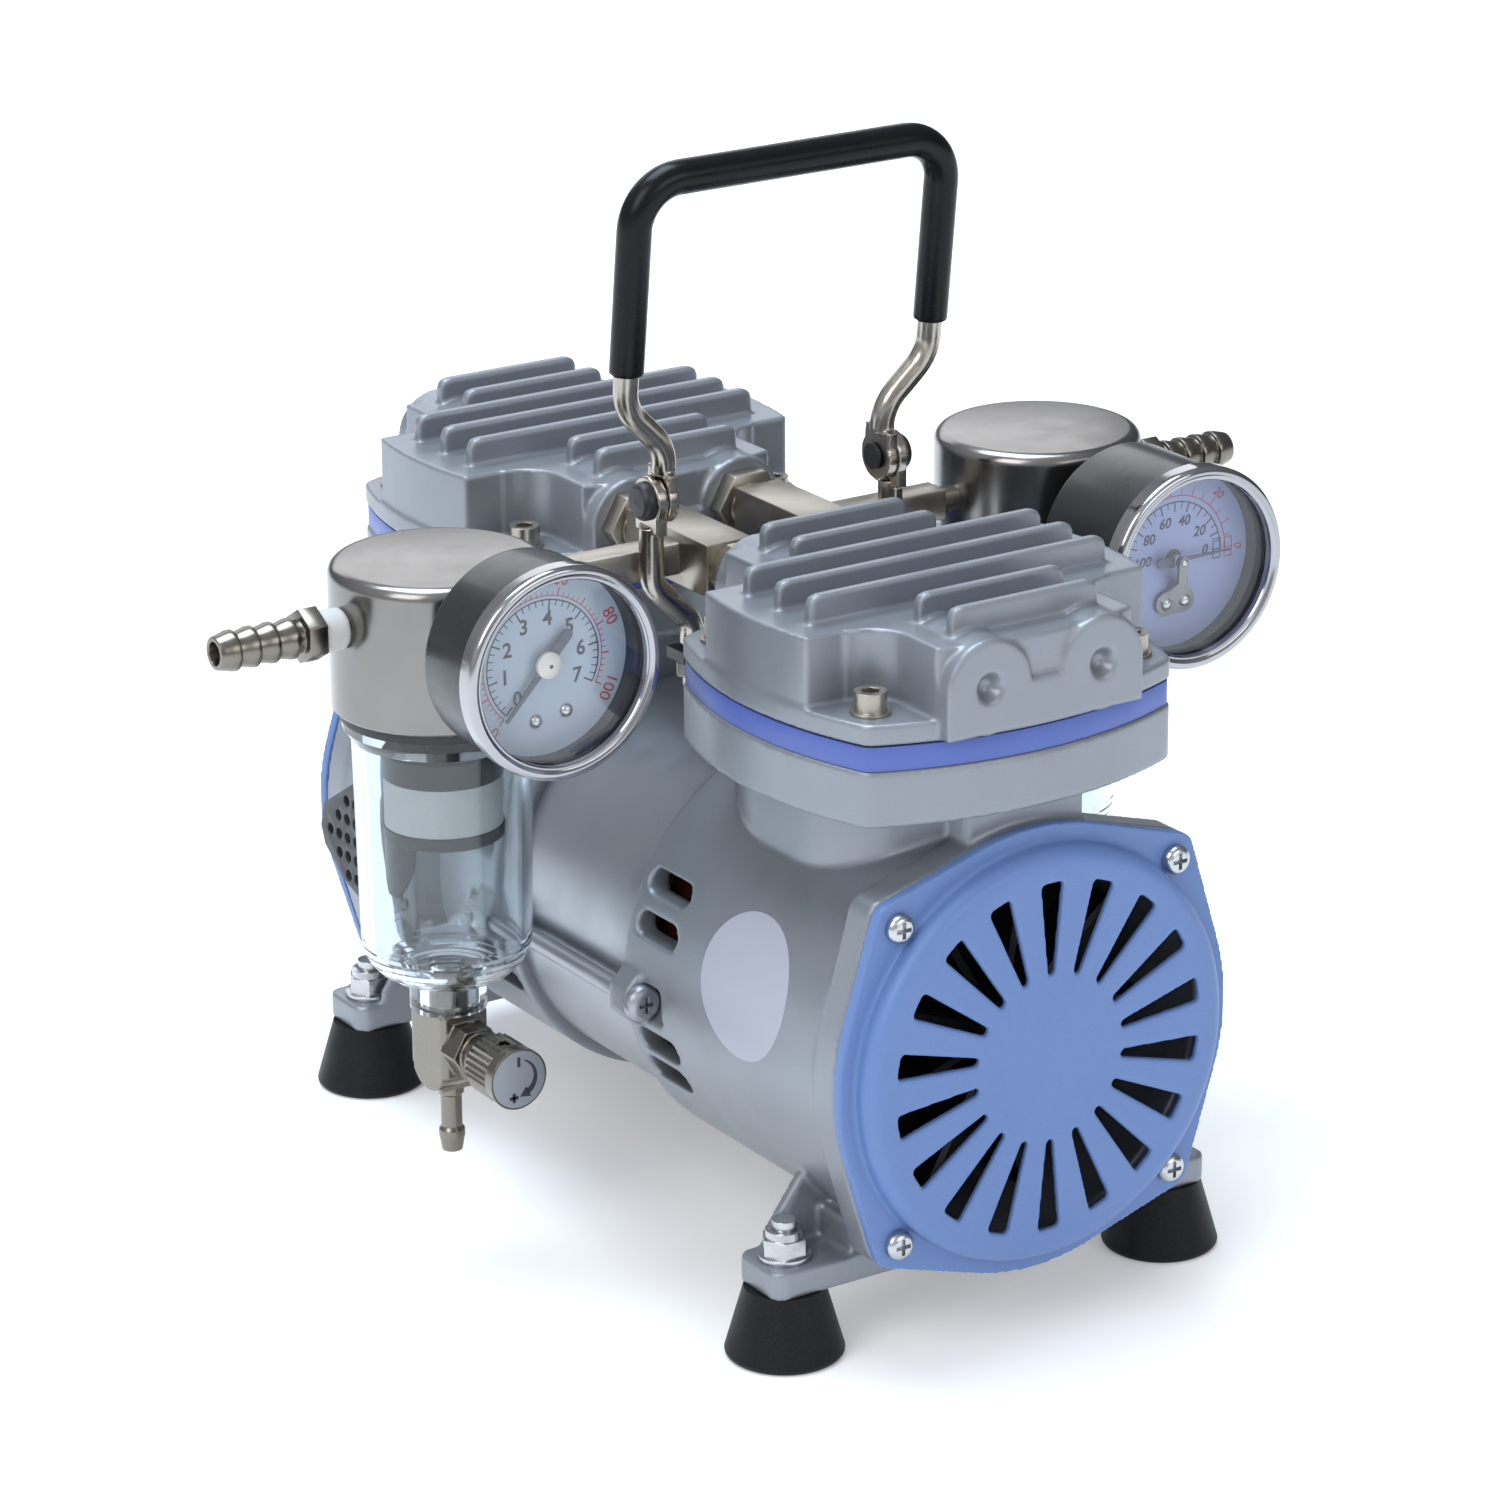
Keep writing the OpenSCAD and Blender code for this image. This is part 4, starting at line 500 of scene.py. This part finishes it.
def printed(name, bm, material, centre_mm, body="pump_body"):
    """Turns flat print into a thin closed layer of ink, facing -Y."""
    for f in bm.faces:
        if f.normal.z < 0:
            f.normal_flip()
    bmesh.ops.triangulate(bm, faces=bm.faces)
    top = bmesh.ops.duplicate(bm, geom=bm.verts[:] + bm.edges[:] + bm.faces[:])
    lifted = [g for g in top["geom"] if isinstance(g, bmesh.types.BMVert)]
    top_faces = {g for g in top["geom"] if isinstance(g, bmesh.types.BMFace)}
    twin = top["vert_map"]
    rims = [e for f in bm.faces if f not in top_faces for e in f.edges if len(e.link_faces) == 1]
    for e in rims:
        a, b = e.verts
        bm.faces.new((a, b, twin[b], twin[a]))
    bmesh.ops.translate(bm, verts=lifted, vec=(0, 0, INK_MM * MM))
    bmesh.ops.recalc_face_normals(bm, faces=bm.faces)
    bm.transform(Matrix.Translation(Vector(centre_mm) * MM) @ FRONT)
    return new_piece(name, plain_mesh(bm, name), body, material)


# Finishes on the CAD nodes

FINISH = {
    "stator_core": lamination, "stator_windings": copper, "stator_band": band_steel,
    "tie_bolts": band_steel, "main_bearings": bright_steel, "cover_screws": bright_steel,
    "cylinder_sleeves": machined, "valve_plates": plate_blue, "reed_valves": bright_steel,
    "head_gaskets": seal_rubber, "head_screws": nickel, "port_adapters": nickel,
    "pressure_manifold": nickel, "vacuum_manifold": nickel, "rubber_feet": foot_rubber,
    "foot_studs": bright_steel, "foot_nuts": bright_steel, "handle_bracket": dark_steel,
    "handle_links": chrome_rod, "handle_rivets": black_plastic, "handle_frame": chrome_rod,
    "handle_grip": grip_vinyl, "bowl_seals": seal_rubber, "left_trap_bowl": clear_plastic,
    "right_trap_bowl": clear_plastic, "filter_holders": black_plastic,
    "filter_elements": filter_white, "hose_barbs": valve_nickel, "valve_bodies": valve_nickel,
    "drain_barbs": valve_nickel, "left_valve_spindle": bright_steel,
    "right_valve_spindle": bright_steel, "left_valve_knob": valve_nickel,
    "right_valve_knob": valve_nickel, "gauge_cases": case_black, "gauge_bezels": bezel_chrome,
    "gauge_lenses": lens_glass, "gauge_dials": dial_white, "bourdon_tubes": nickel,
    "pressure_pointer": pointer_grey, "vacuum_pointer": pointer_grey, "electrical_box": box_black,
    "terminal_block": ivory_plastic, "cable_grommet": seal_rubber, "power_rocker": black_plastic,
    "shaft": bright_steel, "rotor_core": lamination, "crank_eccentrics": machined,
    "cooling_fans": black_plastic, "front_rod": machined, "rear_rod": machined,
    "front_piston_seal": seal_ptfe, "rear_piston_seal": seal_ptfe, "front_housing": silver_paint,
    "rear_housing": silver_paint, "front_head": silver_paint, "rear_head": silver_paint,
    "front_fan_cover": cover_blue, "rear_fan_cover": cover_blue, "trap_caps": machined,
}
for node, material in FINISH.items():
    mesh = nodes[node].data
    for k in range(len(mesh.materials)):
        mesh.materials[k] = material
    if not mesh.materials:
        mesh.materials.append(material)

# Castings, with their voxel size, rounds of smoothing and most faces

for end in ("front", "rear"):
    cast(end + "_head", "pump_body", silver_paint, 0.55, 5, 150000, round_fin_ends)
    cast(end + "_housing", "pump_body", silver_paint, 0.75, 4, 150000)
    cast(end + "_fan_cover", "pump_body", cover_blue, 0.5, 4, 110000)

# Rods, grip and valve blocks, in the same order of values

cast("handle_frame", "handle", chrome_rod, 0.35, 3, 60000)
cast("handle_links", "pump_body", chrome_rod, 0.30, 3, 80000)
cast("handle_grip", "handle", grip_vinyl, 0.5, 4, 60000)
cast("valve_bodies", "pump_body", valve_nickel, 0.28, 3, 80000)

# Fittings and plates, with the width of their edges

for node, material, slot, width in (
        ("port_adapters", nickel, "nickel_brass", 0.45),
        ("pressure_manifold", nickel, "nickel_brass", 0.6),
        ("vacuum_manifold", nickel, "nickel_brass", 0.6),
        ("hose_barbs", valve_nickel, "nickel_brass", 0.22),
        ("foot_nuts", bright_steel, "bright_steel", 0.3),
        ("electrical_box", box_black, "box_black", 0.7),
        ("valve_plates", plate_blue, "plate_blue", 0.4)):
    bevelled(node, "pump_body", material, width)

# Trap caps

LEFT_CAP_DROP = 3.0
CAP_FOOT = 144.0
CAP_ROUND = 3.2
CAP_ROOF = 5.0
CAP_BORE_R = 24.6
CAP_BORE_TOP = 153.0
CAP_HOLLOW_R = 19.0


def trap_cap(side, sx, top):
    metal = turned(side + "_cap_metal", (0.245, 0.235, 0.226), 0.22, rough_var=0.012, tint=0.01,
                   line_mm=0.12, bump_mm=0.0002, aniso=0.3, centre_mm=(sx * TRAP_X, 0, 0))
    wall = [(CAP_BORE_R, CAP_FOOT), (CAP_R - 0.6, CAP_FOOT), (CAP_R, CAP_FOOT + 0.6)]
    shoulder = arc(CAP_R - CAP_ROUND, top - CAP_ROUND, CAP_ROUND, 0, 90, 8)
    inside = [(0, top), (0, top - CAP_ROOF), (CAP_HOLLOW_R, top - CAP_ROOF),
              (CAP_HOLLOW_R, CAP_BORE_TOP), (CAP_BORE_R, CAP_BORE_TOP)]
    lathe(side + "_trap_cap", closed(wall + shoulder + inside), "pump_body", metal,
          (sx * TRAP_X, 0, 0), segments=128, replaces=("trap_caps",))


trap_cap("left", -1, CAP_TOP - LEFT_CAP_DROP)
trap_cap("right", 1, CAP_TOP)

# Black ring under each trap cap's rim: painted shade, a dark band that stands for the shade where the cap
# meets the bowl
CAP_SHADE_RING = [(24.43, 141.3), (24.9, 141.3), (25.1, 141.6), (25.1, 143.95), (24.43, 143.95)]
for side, sx in SIDES:
    lathe(side + "_cap_shade_ring", closed(CAP_SHADE_RING), "pump_body", seal_rubber,
          (sx * TRAP_X, 0, 0), segments=128)

# Filter holders in the bowls

FILTER_TOP = 133.0
FILTER_R = 15.0
FILTER_H = 12.4
DISC_H = 7.0
FOOT_RING_H = 3.6
STEM_R = 4.0
SHEET_DROP = 14.0
SHEET_SPREAD = 31.0  # half of the deflector's width at its top, in degrees


def deflector_sheet(bm, sx, radius, top, rows, steps):
    """Rows of points on a curved sheet that narrows towards its lower end."""
    middle = 180 if sx < 0 else 0
    sheet = []
    for row in range(rows + 1):
        f = row / rows
        spread = SHEET_SPREAD * (1 - f ** 2.2 * 0.75)
        points = [on_circle(radius, middle + spread * (2 * k / steps - 1)) for k in range(steps + 1)]
        z = top - SHEET_DROP * f
        sheet.append([bm.verts.new(((sx * TRAP_X + x) * MM, y * MM, z * MM)) for x, y in points])
    return sheet


def filter_holder(side, sx):
    """Disc, stem and foot ring round the filter, with the curved deflector under them."""
    disc = FILTER_TOP - DISC_H
    ring = disc - FILTER_H
    profile = [(0, ring - FOOT_RING_H), (FILTER_R - 0.5, ring - FOOT_RING_H),
               (FILTER_R, ring - FOOT_RING_H + 0.5), (FILTER_R, ring - 0.3), (FILTER_R - 0.3, ring),
               (3, ring), (3, disc), (FILTER_R - 0.3, disc), (FILTER_R, disc + 0.3),
               (FILTER_R, FILTER_TOP - 0.5), (FILTER_R - 0.5, FILTER_TOP), (STEM_R, FILTER_TOP),
               (STEM_R, CAP_TOP - 6), (0, CAP_TOP - 6)]
    holder = lathe(side + "_filter_holder", profile, "pump_body", black_plastic,
                   (sx * TRAP_X, 0, 0), replaces=("filter_holders",))
    bm = bmesh.new()
    bm.from_mesh(holder.data)
    rows, steps = 8, 18
    outer, inner = (deflector_sheet(bm, sx, radius, ring - 3.2, rows, steps)
                    for radius in (FILTER_R - 0.2, FILTER_R - 1.5))
    for sheet in (outer, inner):
        for low, high in zip(sheet, sheet[1:]):
            for k in range(steps):
                bm.faces.new((low[k], low[k + 1], high[k + 1], high[k]))
    for k in range(steps):
        for row in (0, rows):
            bm.faces.new((outer[row][k], outer[row][k + 1], inner[row][k + 1], inner[row][k]))
    for row in range(rows):
        for k in (0, steps):
            bm.faces.new((outer[row][k], outer[row + 1][k], inner[row + 1][k], inner[row][k]))
    holder.data = to_mesh(bm, side + "_filter_holder")
    holder.data.materials.append(black_plastic)


for side, sx in SIDES:
    filter_holder(side, sx)

# Gauges, measured back from the middle of the bezel's face

PRESSURE = (-TRAP_X, -60.0, 167.8)
VACUUM = (TRAP_X, -69.5, 163.5)
GAUGE_BACK_Y = -35.5
BEZEL_R = 26.4
BEZEL_BACK = 5.6
CASE_R = 25.0
CASE_FRONT = 4.0
CASE_INNER_R = CASE_R - 1.4
LENS_FRONT = 2.7
LENS_BACK = 3.9
DIAL_BACK = 11.06
PRESSURE_SCALE = (228.0, -28.0)  # from zero to full, in degrees
VACUUM_SCALE = (0.0, 178.0)


def gauge_shell(side, centre, face_material):
    """Case with its stem, black inner wall, chrome bezel, pane and dial plate."""

    def part(name, profile, material, slot, segments, *replaces):
        lathe(side + name, profile, "pump_body", material, centre, FRONT, segments, replaces)

    back = centre[1] - GAUGE_BACK_Y
    case = ([(0, back)] + arc(CASE_R - 1.5, back + 1.5, 1.5, -90, 0, 5)
            + [(CASE_R, -CASE_FRONT), (CASE_INNER_R, -CASE_FRONT), (CASE_INNER_R, back + 3),
               (0, back + 3)])
    part("_gauge_case", case, case_black, "gauge_black", 128, "gauge_cases")
    stem = [(0, back - 8.6), (5.4, back - 8.6), (6.3, back - 7.8), (6.3, back + 0.5), (0, back + 0.5)]
    part("_gauge_stem", stem, nickel, "nickel_brass", 6, "gauge_cases")
    skin, face = CASE_INNER_R - 0.05, CASE_INNER_R - 0.4
    liner = [(skin, -DIAL_BACK), (face, -DIAL_BACK), (face, -CASE_FRONT), (skin, -CASE_FRONT)]
    part("_gauge_liner", closed(liner), liner_black, "gauge_black", 96)
    seat, lip = CASE_R + 0.06, BEZEL_R - 3.5
    rim = ([(seat, -BEZEL_BACK), (BEZEL_R - 0.5, -BEZEL_BACK), (BEZEL_R, -BEZEL_BACK + 0.5),
            (BEZEL_R, -2.6)]
           + arc(BEZEL_R - 1.5, -1.5, 1.5, 0, 80, 7)
           + [(BEZEL_R - 1.9, -0.05), (BEZEL_R - 2.4, -0.55), (BEZEL_R - 2.8, -0.75),
              (lip + 0.3, -0.7), (lip, -1.1), (lip, -2.6), (seat, -2.6)])
    part("_gauge_bezel", closed(rim), bezel_chrome, "bezel_chrome", 128, "gauge_bezels")
    lens_r = CASE_R - 0.4
    pane = [(0, -LENS_BACK), (lens_r, -LENS_BACK), (lens_r, -LENS_FRONT), (0, -LENS_FRONT)]
    part("_gauge_pane", pane, lens_glass, "lens_glass", 96, "gauge_lenses")
    plate_r, front = CASE_INNER_R - 0.1, -DIAL_BACK - 0.04
    dial = [(0, front - 0.8), (plate_r, front - 0.8), (plate_r, front), (0, front)]
    part("_gauge_dial", dial, face_material, "dial_white", 96, "gauge_dials")


gauge_shell("left", PRESSURE, dial_white)
gauge_shell("right", VACUUM, dial_lilac)


def behind(gauge, back, x=0.0, z=0.0):
    """A point of a gauge, so far behind its face and beside its middle."""
    return gauge[0] + x, gauge[1] + back, gauge[2] + z


def pressure_dial():
    """A black scale from 0 to 7 inside a red one from 0 to 100."""
    black, red = bmesh.new(), bmesh.new()
    zero, full = PRESSURE_SCALE
    scale(black, zero, full, 15.4, 0.34, 35, 5, (-2.6, -1.5), (0.42, 0.27))
    for k, angle in enumerate(angles(zero, full, 7)):
        print_number(black, str(k), 5.2, on_circle(10.7, angle), 0.021)
    scale(red, zero, full, 16.4, 0.24, 50, 5, (2.0, 1.1), (0.34, 0.2))
    for k, angle in enumerate(angles(zero, full, 5)):
        print_number(red, str(20 * k), 4.5, on_circle(20.4, angle), 0.006, angle - 90)
    printed("pressure_scale_black", black, print_black, behind(PRESSURE, DIAL_BACK))
    printed("pressure_scale_red", red, print_red, behind(PRESSURE, DIAL_BACK))


def vacuum_dial():
    """A black scale from 0 to 100 inside a red one from 0 to 76, with a small frame beside each."""
    black, red = bmesh.new(), bmesh.new()
    zero, full = VACUUM_SCALE
    scale(black, zero, full, 14.8, 0.3, 20, 2, (-2.6, -1.6), (0.36, 0.24))
    for k, angle in enumerate(angles(zero, full, 5)):
        clear_of_ring = 3 if k == 0 else 0
        place = on_circle(9.9, angle + clear_of_ring)
        print_number(black, str(20 * k), 3.7, place, 0.018, slant=0.2)
    scale(red, zero, full, 16.4, 0.26, 76 / 5, 2, (2.6, 1.7), (0.24, 0.24))
    for k, angle in enumerate(angles(zero, full, 76 / 20)):
        print_number(red, str(20 * k), 3.2, on_circle(20.4, angle), 0.012, angle - 90, 0.2)
    y0, y1, half = -2.3, 2.8, 0.13
    for bm, x0, x1 in ((black, 12.6, 14.9), (red, 16.2, 18.5)):
        for ya, yb, xa, xb in ((y0, y0, x0, x1), (y1, y1, x0, x1), (y0, y1, x0, x0), (y0, y1, x1, x1)):
            flat_box(bm, xa - half, ya - half, xb + half, yb + half)
    printed("vacuum_scale_black", black, print_black, behind(VACUUM, DIAL_BACK))
    printed("vacuum_scale_red", red, print_red, behind(VACUUM, DIAL_BACK))


pressure_dial()
vacuum_dial()

# Needles and the movement that shows on the dials


def plate(name, outline, y0, y1, gauge, body, material, round_mm, bend=None, replaces=()):
    """Extrudes an outline in the gauge's face plane from y0 to y1 behind the face."""
    bm = bmesh.new()
    face = bm.faces.new([bm.verts.new((x * MM, y * MM, -y1 * MM)) for x, y in outline])
    done = bmesh.ops.extrude_face_region(bm, geom=[face])
    front = [g for g in done["geom"] if isinstance(g, bmesh.types.BMVert)]
    bmesh.ops.translate(bm, verts=front, vec=(0, 0, (y1 - y0) * MM))
    long_edges = [e for e in bm.edges if e.calc_length() > 0.2 * MM and len(e.link_faces) == 2]
    bmesh.ops.bevel(bm, geom=long_edges, offset=round_mm * MM, segments=2, affect="EDGES",
                    clamp_overlap=True)
    if bend:
        for v in bm.verts:
            v.co.z += bend(v.co.y / MM) * MM
    bm.transform(Matrix.Translation(Vector(gauge) * MM) @ FRONT)
    return new_piece(name, to_mesh(bm, name), body, material, replaces)


def spun(points, deg):
    c, s = math.cos(math.radians(deg)), math.sin(math.radians(deg))
    return [(x * c - y * s, x * s + y * c) for x, y in points]


def dome(name, r, h, at, body, material, foot=0.0):
    """A low domed head of radius r and height h, on a foot, whose flat side is at the given point."""
    steps = 6
    big = (r * r + h * h) / (2 * h)
    top = math.degrees(math.asin(r / big))
    cap = [(big * math.sin(math.radians(a)), foot + h - big + big * math.cos(math.radians(a)))
           for a in (top * (1 - k / steps) for k in range(steps + 1))]
    base = [(0, 0), (r, 0)] if foot else [(0, 0)]
    profile = base + cap[:-1] + [(0, cap[-1][1])]
    return lathe(name, profile, body, material, at, FRONT, 40)


NEEDLE = [(0, -0.95), (16.8, -0.42), (17.1, 0.0), (16.8, 0.42), (0, 0.95)]
TAIL = [(0, 1.3)] + arc(-8.6, 0, 1.45, 90, 270, 8) + [(0, -1.3)]
plate("pressure_needle", spun(TAIL + NEEDLE, PRESSURE_SCALE[0]), 8.95, 9.55, PRESSURE,
      "pressure_pointer", pointer_grey, 0.08, replaces=("pressure_pointer",))
dome("pressure_hub", 3.3, 1.0, behind(PRESSURE, 8.9), "pressure_pointer", hub_white,
     0.9)
dome("pressure_hub_dot", 0.55, 0.25, behind(PRESSURE, 7.05), "pressure_pointer", dark_steel)
for name, x, z in (("dial_rivet_a", -2.3, -14.4), ("dial_rivet_b", 6.2, -13.2)):
    dome(name, 1.85, 1.25, behind(PRESSURE, 11.1, x, z), "pump_body", bright_steel, 0.15)

THIN_NEEDLE = [(0, -0.6), (16.6, -0.2), (16.9, 0.0), (16.6, 0.2), (0, 0.6)]
THIN_TAIL = [(0, 1.0), (-4.6, 1.3)] + arc(-5.2, 0, 1.4, 110, 250, 8) + [(-4.6, -1.3), (0, -1.0)]
plate("vacuum_needle", THIN_TAIL + THIN_NEEDLE, 8.9, 9.4, VACUUM, "vacuum_pointer", pointer_grey,
      0.06, replaces=("vacuum_pointer",))
HUB = [(0, -10.8), (1.5, -10.8), (1.5, -8.6), (1.2, -8.3), (0, -8.3)]
lathe("vacuum_needle_hub", HUB, "vacuum_pointer", bright_steel, VACUUM, FRONT, 40)

# The vacuum gauge's bridge: an eye round the hub, an arm, and two ears with screws
SCREW_X = 2.9
SCREW_Z = -11.2
EYE_Z = 0.2
EYE_R = 1.35
BRIDGE = ([(-EYE_R, EYE_Z)] + arc(0, EYE_Z, EYE_R, 180, 0, 8) + [(EYE_R, -5.4), (2.4, -7.6)]
          + arc(SCREW_X, SCREW_Z, 3.1, 60, -90, 7) + arc(-SCREW_X, SCREW_Z, 3.1, -90, -240, 7)
          + [(-2.4, -7.6), (-EYE_R, -5.4)])


def arm_step(z):
    """How far the bridge stands off the dial: nothing at the ears, full at the arm."""
    return 3.4 * min(1.0, max(0.0, (z + 8.4) / 3.2))


plate("vacuum_bridge", BRIDGE, 9.9, 11.05, VACUUM, "pump_body", bridge_steel, 0.12,
      arm_step)
for k, x in enumerate((-SCREW_X, SCREW_X)):
    dome(f"vacuum_bridge_screw_{k}", 1.7, 0.9, behind(VACUUM, 9.95, x, SCREW_Z), "pump_body",
         bright_steel, 0.35)
dome("vacuum_bridge_pivot", 1.0, 0.5, behind(VACUUM, 6.5), "pump_body", bright_steel,
     0.25)
lathe("vacuum_dial_hole", [(0, 0), (2.5, 0), (2.5, 0.03), (0, 0.03)], "pump_body", dark_steel,
      behind(VACUUM, 11.1), FRONT, 40)

# Knob faces, with a minus, an arrow and a plus, and the tape on the barbs' threads

KNOB_FACE_Y = -33.2
KNOB_Z = 55.4
TAPE_X = 27.8  # from the trap's axis
TAPE_Z = 168.0
ARROW_R = 5.2
DISC_T = 0.58
MARKS_LIFT = 0.01
DISC = [(0, 0), (6.8, 0), (6.8, 0.42), (7.4, 0.42), (7.4, 0.5), (7.25, DISC_T), (0, DISC_T)]
TAPE = [(4.4, -0.9), (5.0, -0.4), (5.25, 0.4), (5.1, 1.1), (5.35, 1.9), (5.2, 2.6), (5.4, 3.4),
        (5.25, 4.2), (5.3, 5.0), (5.0, 5.85), (4.4, 5.95)]
knob_face = surface("knob_face", (0.25, 0.27, 0.30), 0.45, metal=0.2, tint=0.04, rough_var=0.04,
                    bump_mm=0.003, round_mm=0)


def knob_marks():
    """A curved arrow that widens towards its tip, with the minus and the plus beside it."""
    ink = bmesh.new()
    outer = arc(0, 0, ARROW_R, 72, -56, 16)
    shrink = [1 - 0.07 - 0.25 * k / 16 for k in range(17)]
    flat_strip(ink, [(x * s, y * s) for (x, y), s in zip(outer, shrink)], outer)
    ink.faces.new(flat_verts(ink, [on_circle(6.1, -57), on_circle(2.9, -48), on_circle(4.6, -88)]))
    flat_box(ink, -0.45, 3.3, 0.45, 5.9)
    flat_box(ink, -2.8, -5.1, -0.3, -4.2)
    flat_box(ink, -2.0, -5.9, -1.1, -3.4)
    return ink


for side, sx in SIDES:
    body = side + "_knob"
    lathe(side + "_knob_disc", DISC, body, knob_face,
          (sx * TRAP_X, KNOB_FACE_Y, KNOB_Z), FRONT, 64)
    printed(side + "_knob_marks", knob_marks(), print_black,
            (sx * TRAP_X, KNOB_FACE_Y - DISC_T - MARKS_LIFT, KNOB_Z), body)
    outward = Matrix.Rotation(math.radians(90 * sx), 4, "Y")
    lathe(side + "_thread_tape", TAPE, "pump_body", tape_white,
          (sx * (TRAP_X + TAPE_X), 0, TAPE_Z), outward, 64)

# The bare label

LABEL_Y = -80.0
LABEL_Z = 87.6
LABEL_HALF = (18.0, 18.4)
LABEL_LIFT = 0.16
RIM_LIFT = 0.02


def label_on_housing():
    """A blank oval plate that follows the round side of the front housing."""
    bm = bmesh.new()
    circles, spokes = 8, 64
    rings = []
    for ring in range(circles + 1):
        f = ring / circles
        r = HOUSING_R + (LABEL_LIFT if ring < circles else RIM_LIFT)
        row = []
        for k in range(spokes if ring else 1):
            a = 2 * math.pi * k / spokes
            y = LABEL_Y + LABEL_HALF[0] * f * math.cos(a)
            arc_len = (LABEL_Z - SHAFT_Z) + LABEL_HALF[1] * f * math.sin(a)
            t = math.pi - arc_len / HOUSING_R
            row.append(bm.verts.new((r * math.cos(t) * MM, y * MM, (SHAFT_Z + r * math.sin(t)) * MM)))
        rings.append(row)
    for low, high in zip(rings, rings[1:]):
        for k in range(spokes):
            a, b = low[k % len(low)], low[(k + 1) % len(low)]
            bm.faces.new(list(dict.fromkeys((a, b, high[(k + 1) % spokes], high[k]))))
    mesh = to_mesh(bm, "label_place")
    return new_piece("label_place", mesh, "pump_body", label_white)


label_on_housing()

# Floor

FLOOR_R = 9.0
FLOOR_GLOW = 0.22
floor_mat = surface("stage_floor", (0.90, 0.90, 0.90), 0.85, tint=0.004, tint_scale=2, rough_var=0.03,
                    round_mm=0)
floor_shader = floor_mat.node_tree.nodes["Principled BSDF"]
floor_shader.inputs["Emission Color"].default_value = (1, 1, 1, 1)
floor_shader.inputs["Emission Strength"].default_value = FLOOR_GLOW
bm = bmesh.new()
bmesh.ops.create_circle(bm, cap_ends=True, segments=96, radius=FLOOR_R)
floor = bpy.data.objects.new("stage_floor", plain_mesh(bm, "stage_floor"))
floor.data.materials.append(floor_mat)
scene.collection.objects.link(floor)

# Lights, with their place and size in metres and their power in watts

LIT_POINT = Vector((0, 0, 0.12))


def softbox(name, place, size, power, color):
    data = bpy.data.lights.new(name, "AREA")
    data.shape = "RECTANGLE"
    data.size, data.size_y = size
    data.energy = power
    data.color = color
    lamp = bpy.data.objects.new(name, data)
    lamp.location = place
    lamp.rotation_euler = (LIT_POINT - Vector(place)).to_track_quat("-Z", "Y").to_euler()
    scene.collection.objects.link(lamp)


softbox("key", (-1.7, -0.7, 1.5), (1.1, 1.3), 17, (1.0, 0.99, 0.98))
softbox("front", (0.5, -2.1, 1.1), (1.5, 1.0), 11, (0.97, 0.98, 1.0))
softbox("top", (-0.1, 0.5, 2.2), (1.4, 1.4), 50, (0.74, 0.88, 1.0))
softbox("back", (0.6, 1.9, 1.1), (1.8, 0.9), 8, (0.95, 0.97, 1.0))

# The room: light towards the upper left, dark on the far side

BRIGHT_SIDE = (-0.62, -0.18, 0.76)
ROOM_LIGHT = 0.85
ROOM_COLORS = ((0.25, (0.13, 0.135, 0.15)), (0.62, (0.36, 0.37, 0.40)), (1.0, (0.86, 0.88, 0.93)))

world = bpy.data.worlds.new("studio")
scene.world = world
world.use_nodes = True
tree = world.node_tree
coords = tree.nodes.new("ShaderNodeTexCoord")
toward = tree.nodes.new("ShaderNodeVectorMath")
toward.operation = "DOT_PRODUCT"
toward.inputs[1].default_value = BRIGHT_SIDE
tree.links.new(coords.outputs["Generated"], toward.inputs[0])
height = tree.nodes.new("ShaderNodeMapRange")
height.inputs[1].default_value = -1.0
tree.links.new(toward.outputs["Value"], height.inputs[0])
ramp = tree.nodes.new("ShaderNodeValToRGB")
tree.links.new(height.outputs[0], ramp.inputs[0])
stops = ramp.color_ramp.elements
stops.new(ROOM_COLORS[1][0])
for stop, (position, color) in zip(stops, ROOM_COLORS):
    stop.position = position
    stop.color = (*color, 1)
background = tree.nodes["Background"]
tree.links.new(ramp.outputs[0], background.inputs[0])
background.inputs[1].default_value = ROOM_LIGHT

# The camera that was fitted to the photograph

PHOTO_PX = 1500
FOCAL_PX = 5569.2
SENSOR_MM = 36.0
RIGHT = Vector((0.83649, -0.54794, -0.006779))
UP = Vector((0.181105, 0.264759, 0.947156))
BACK = Vector((-0.51719, -0.793514, 0.320703))
CAMERA_AT = Vector((-0.73027, -1.12044, 0.59283))

camera_data = bpy.data.cameras.new("camera")
camera = bpy.data.objects.new("camera", camera_data)
scene.collection.objects.link(camera)
camera_data.sensor_width = SENSOR_MM
camera_data.lens = FOCAL_PX / PHOTO_PX * SENSOR_MM
camera_data.shift_x = 0.00108
camera_data.shift_y = -0.06671
camera_data.clip_end = 60
turn = Matrix((RIGHT, UP, BACK)).transposed().to_4x4()
camera.matrix_world = Matrix.Translation(CAMERA_AT) @ turn
scene.camera = camera
scene.view_settings.view_transform = "Standard"
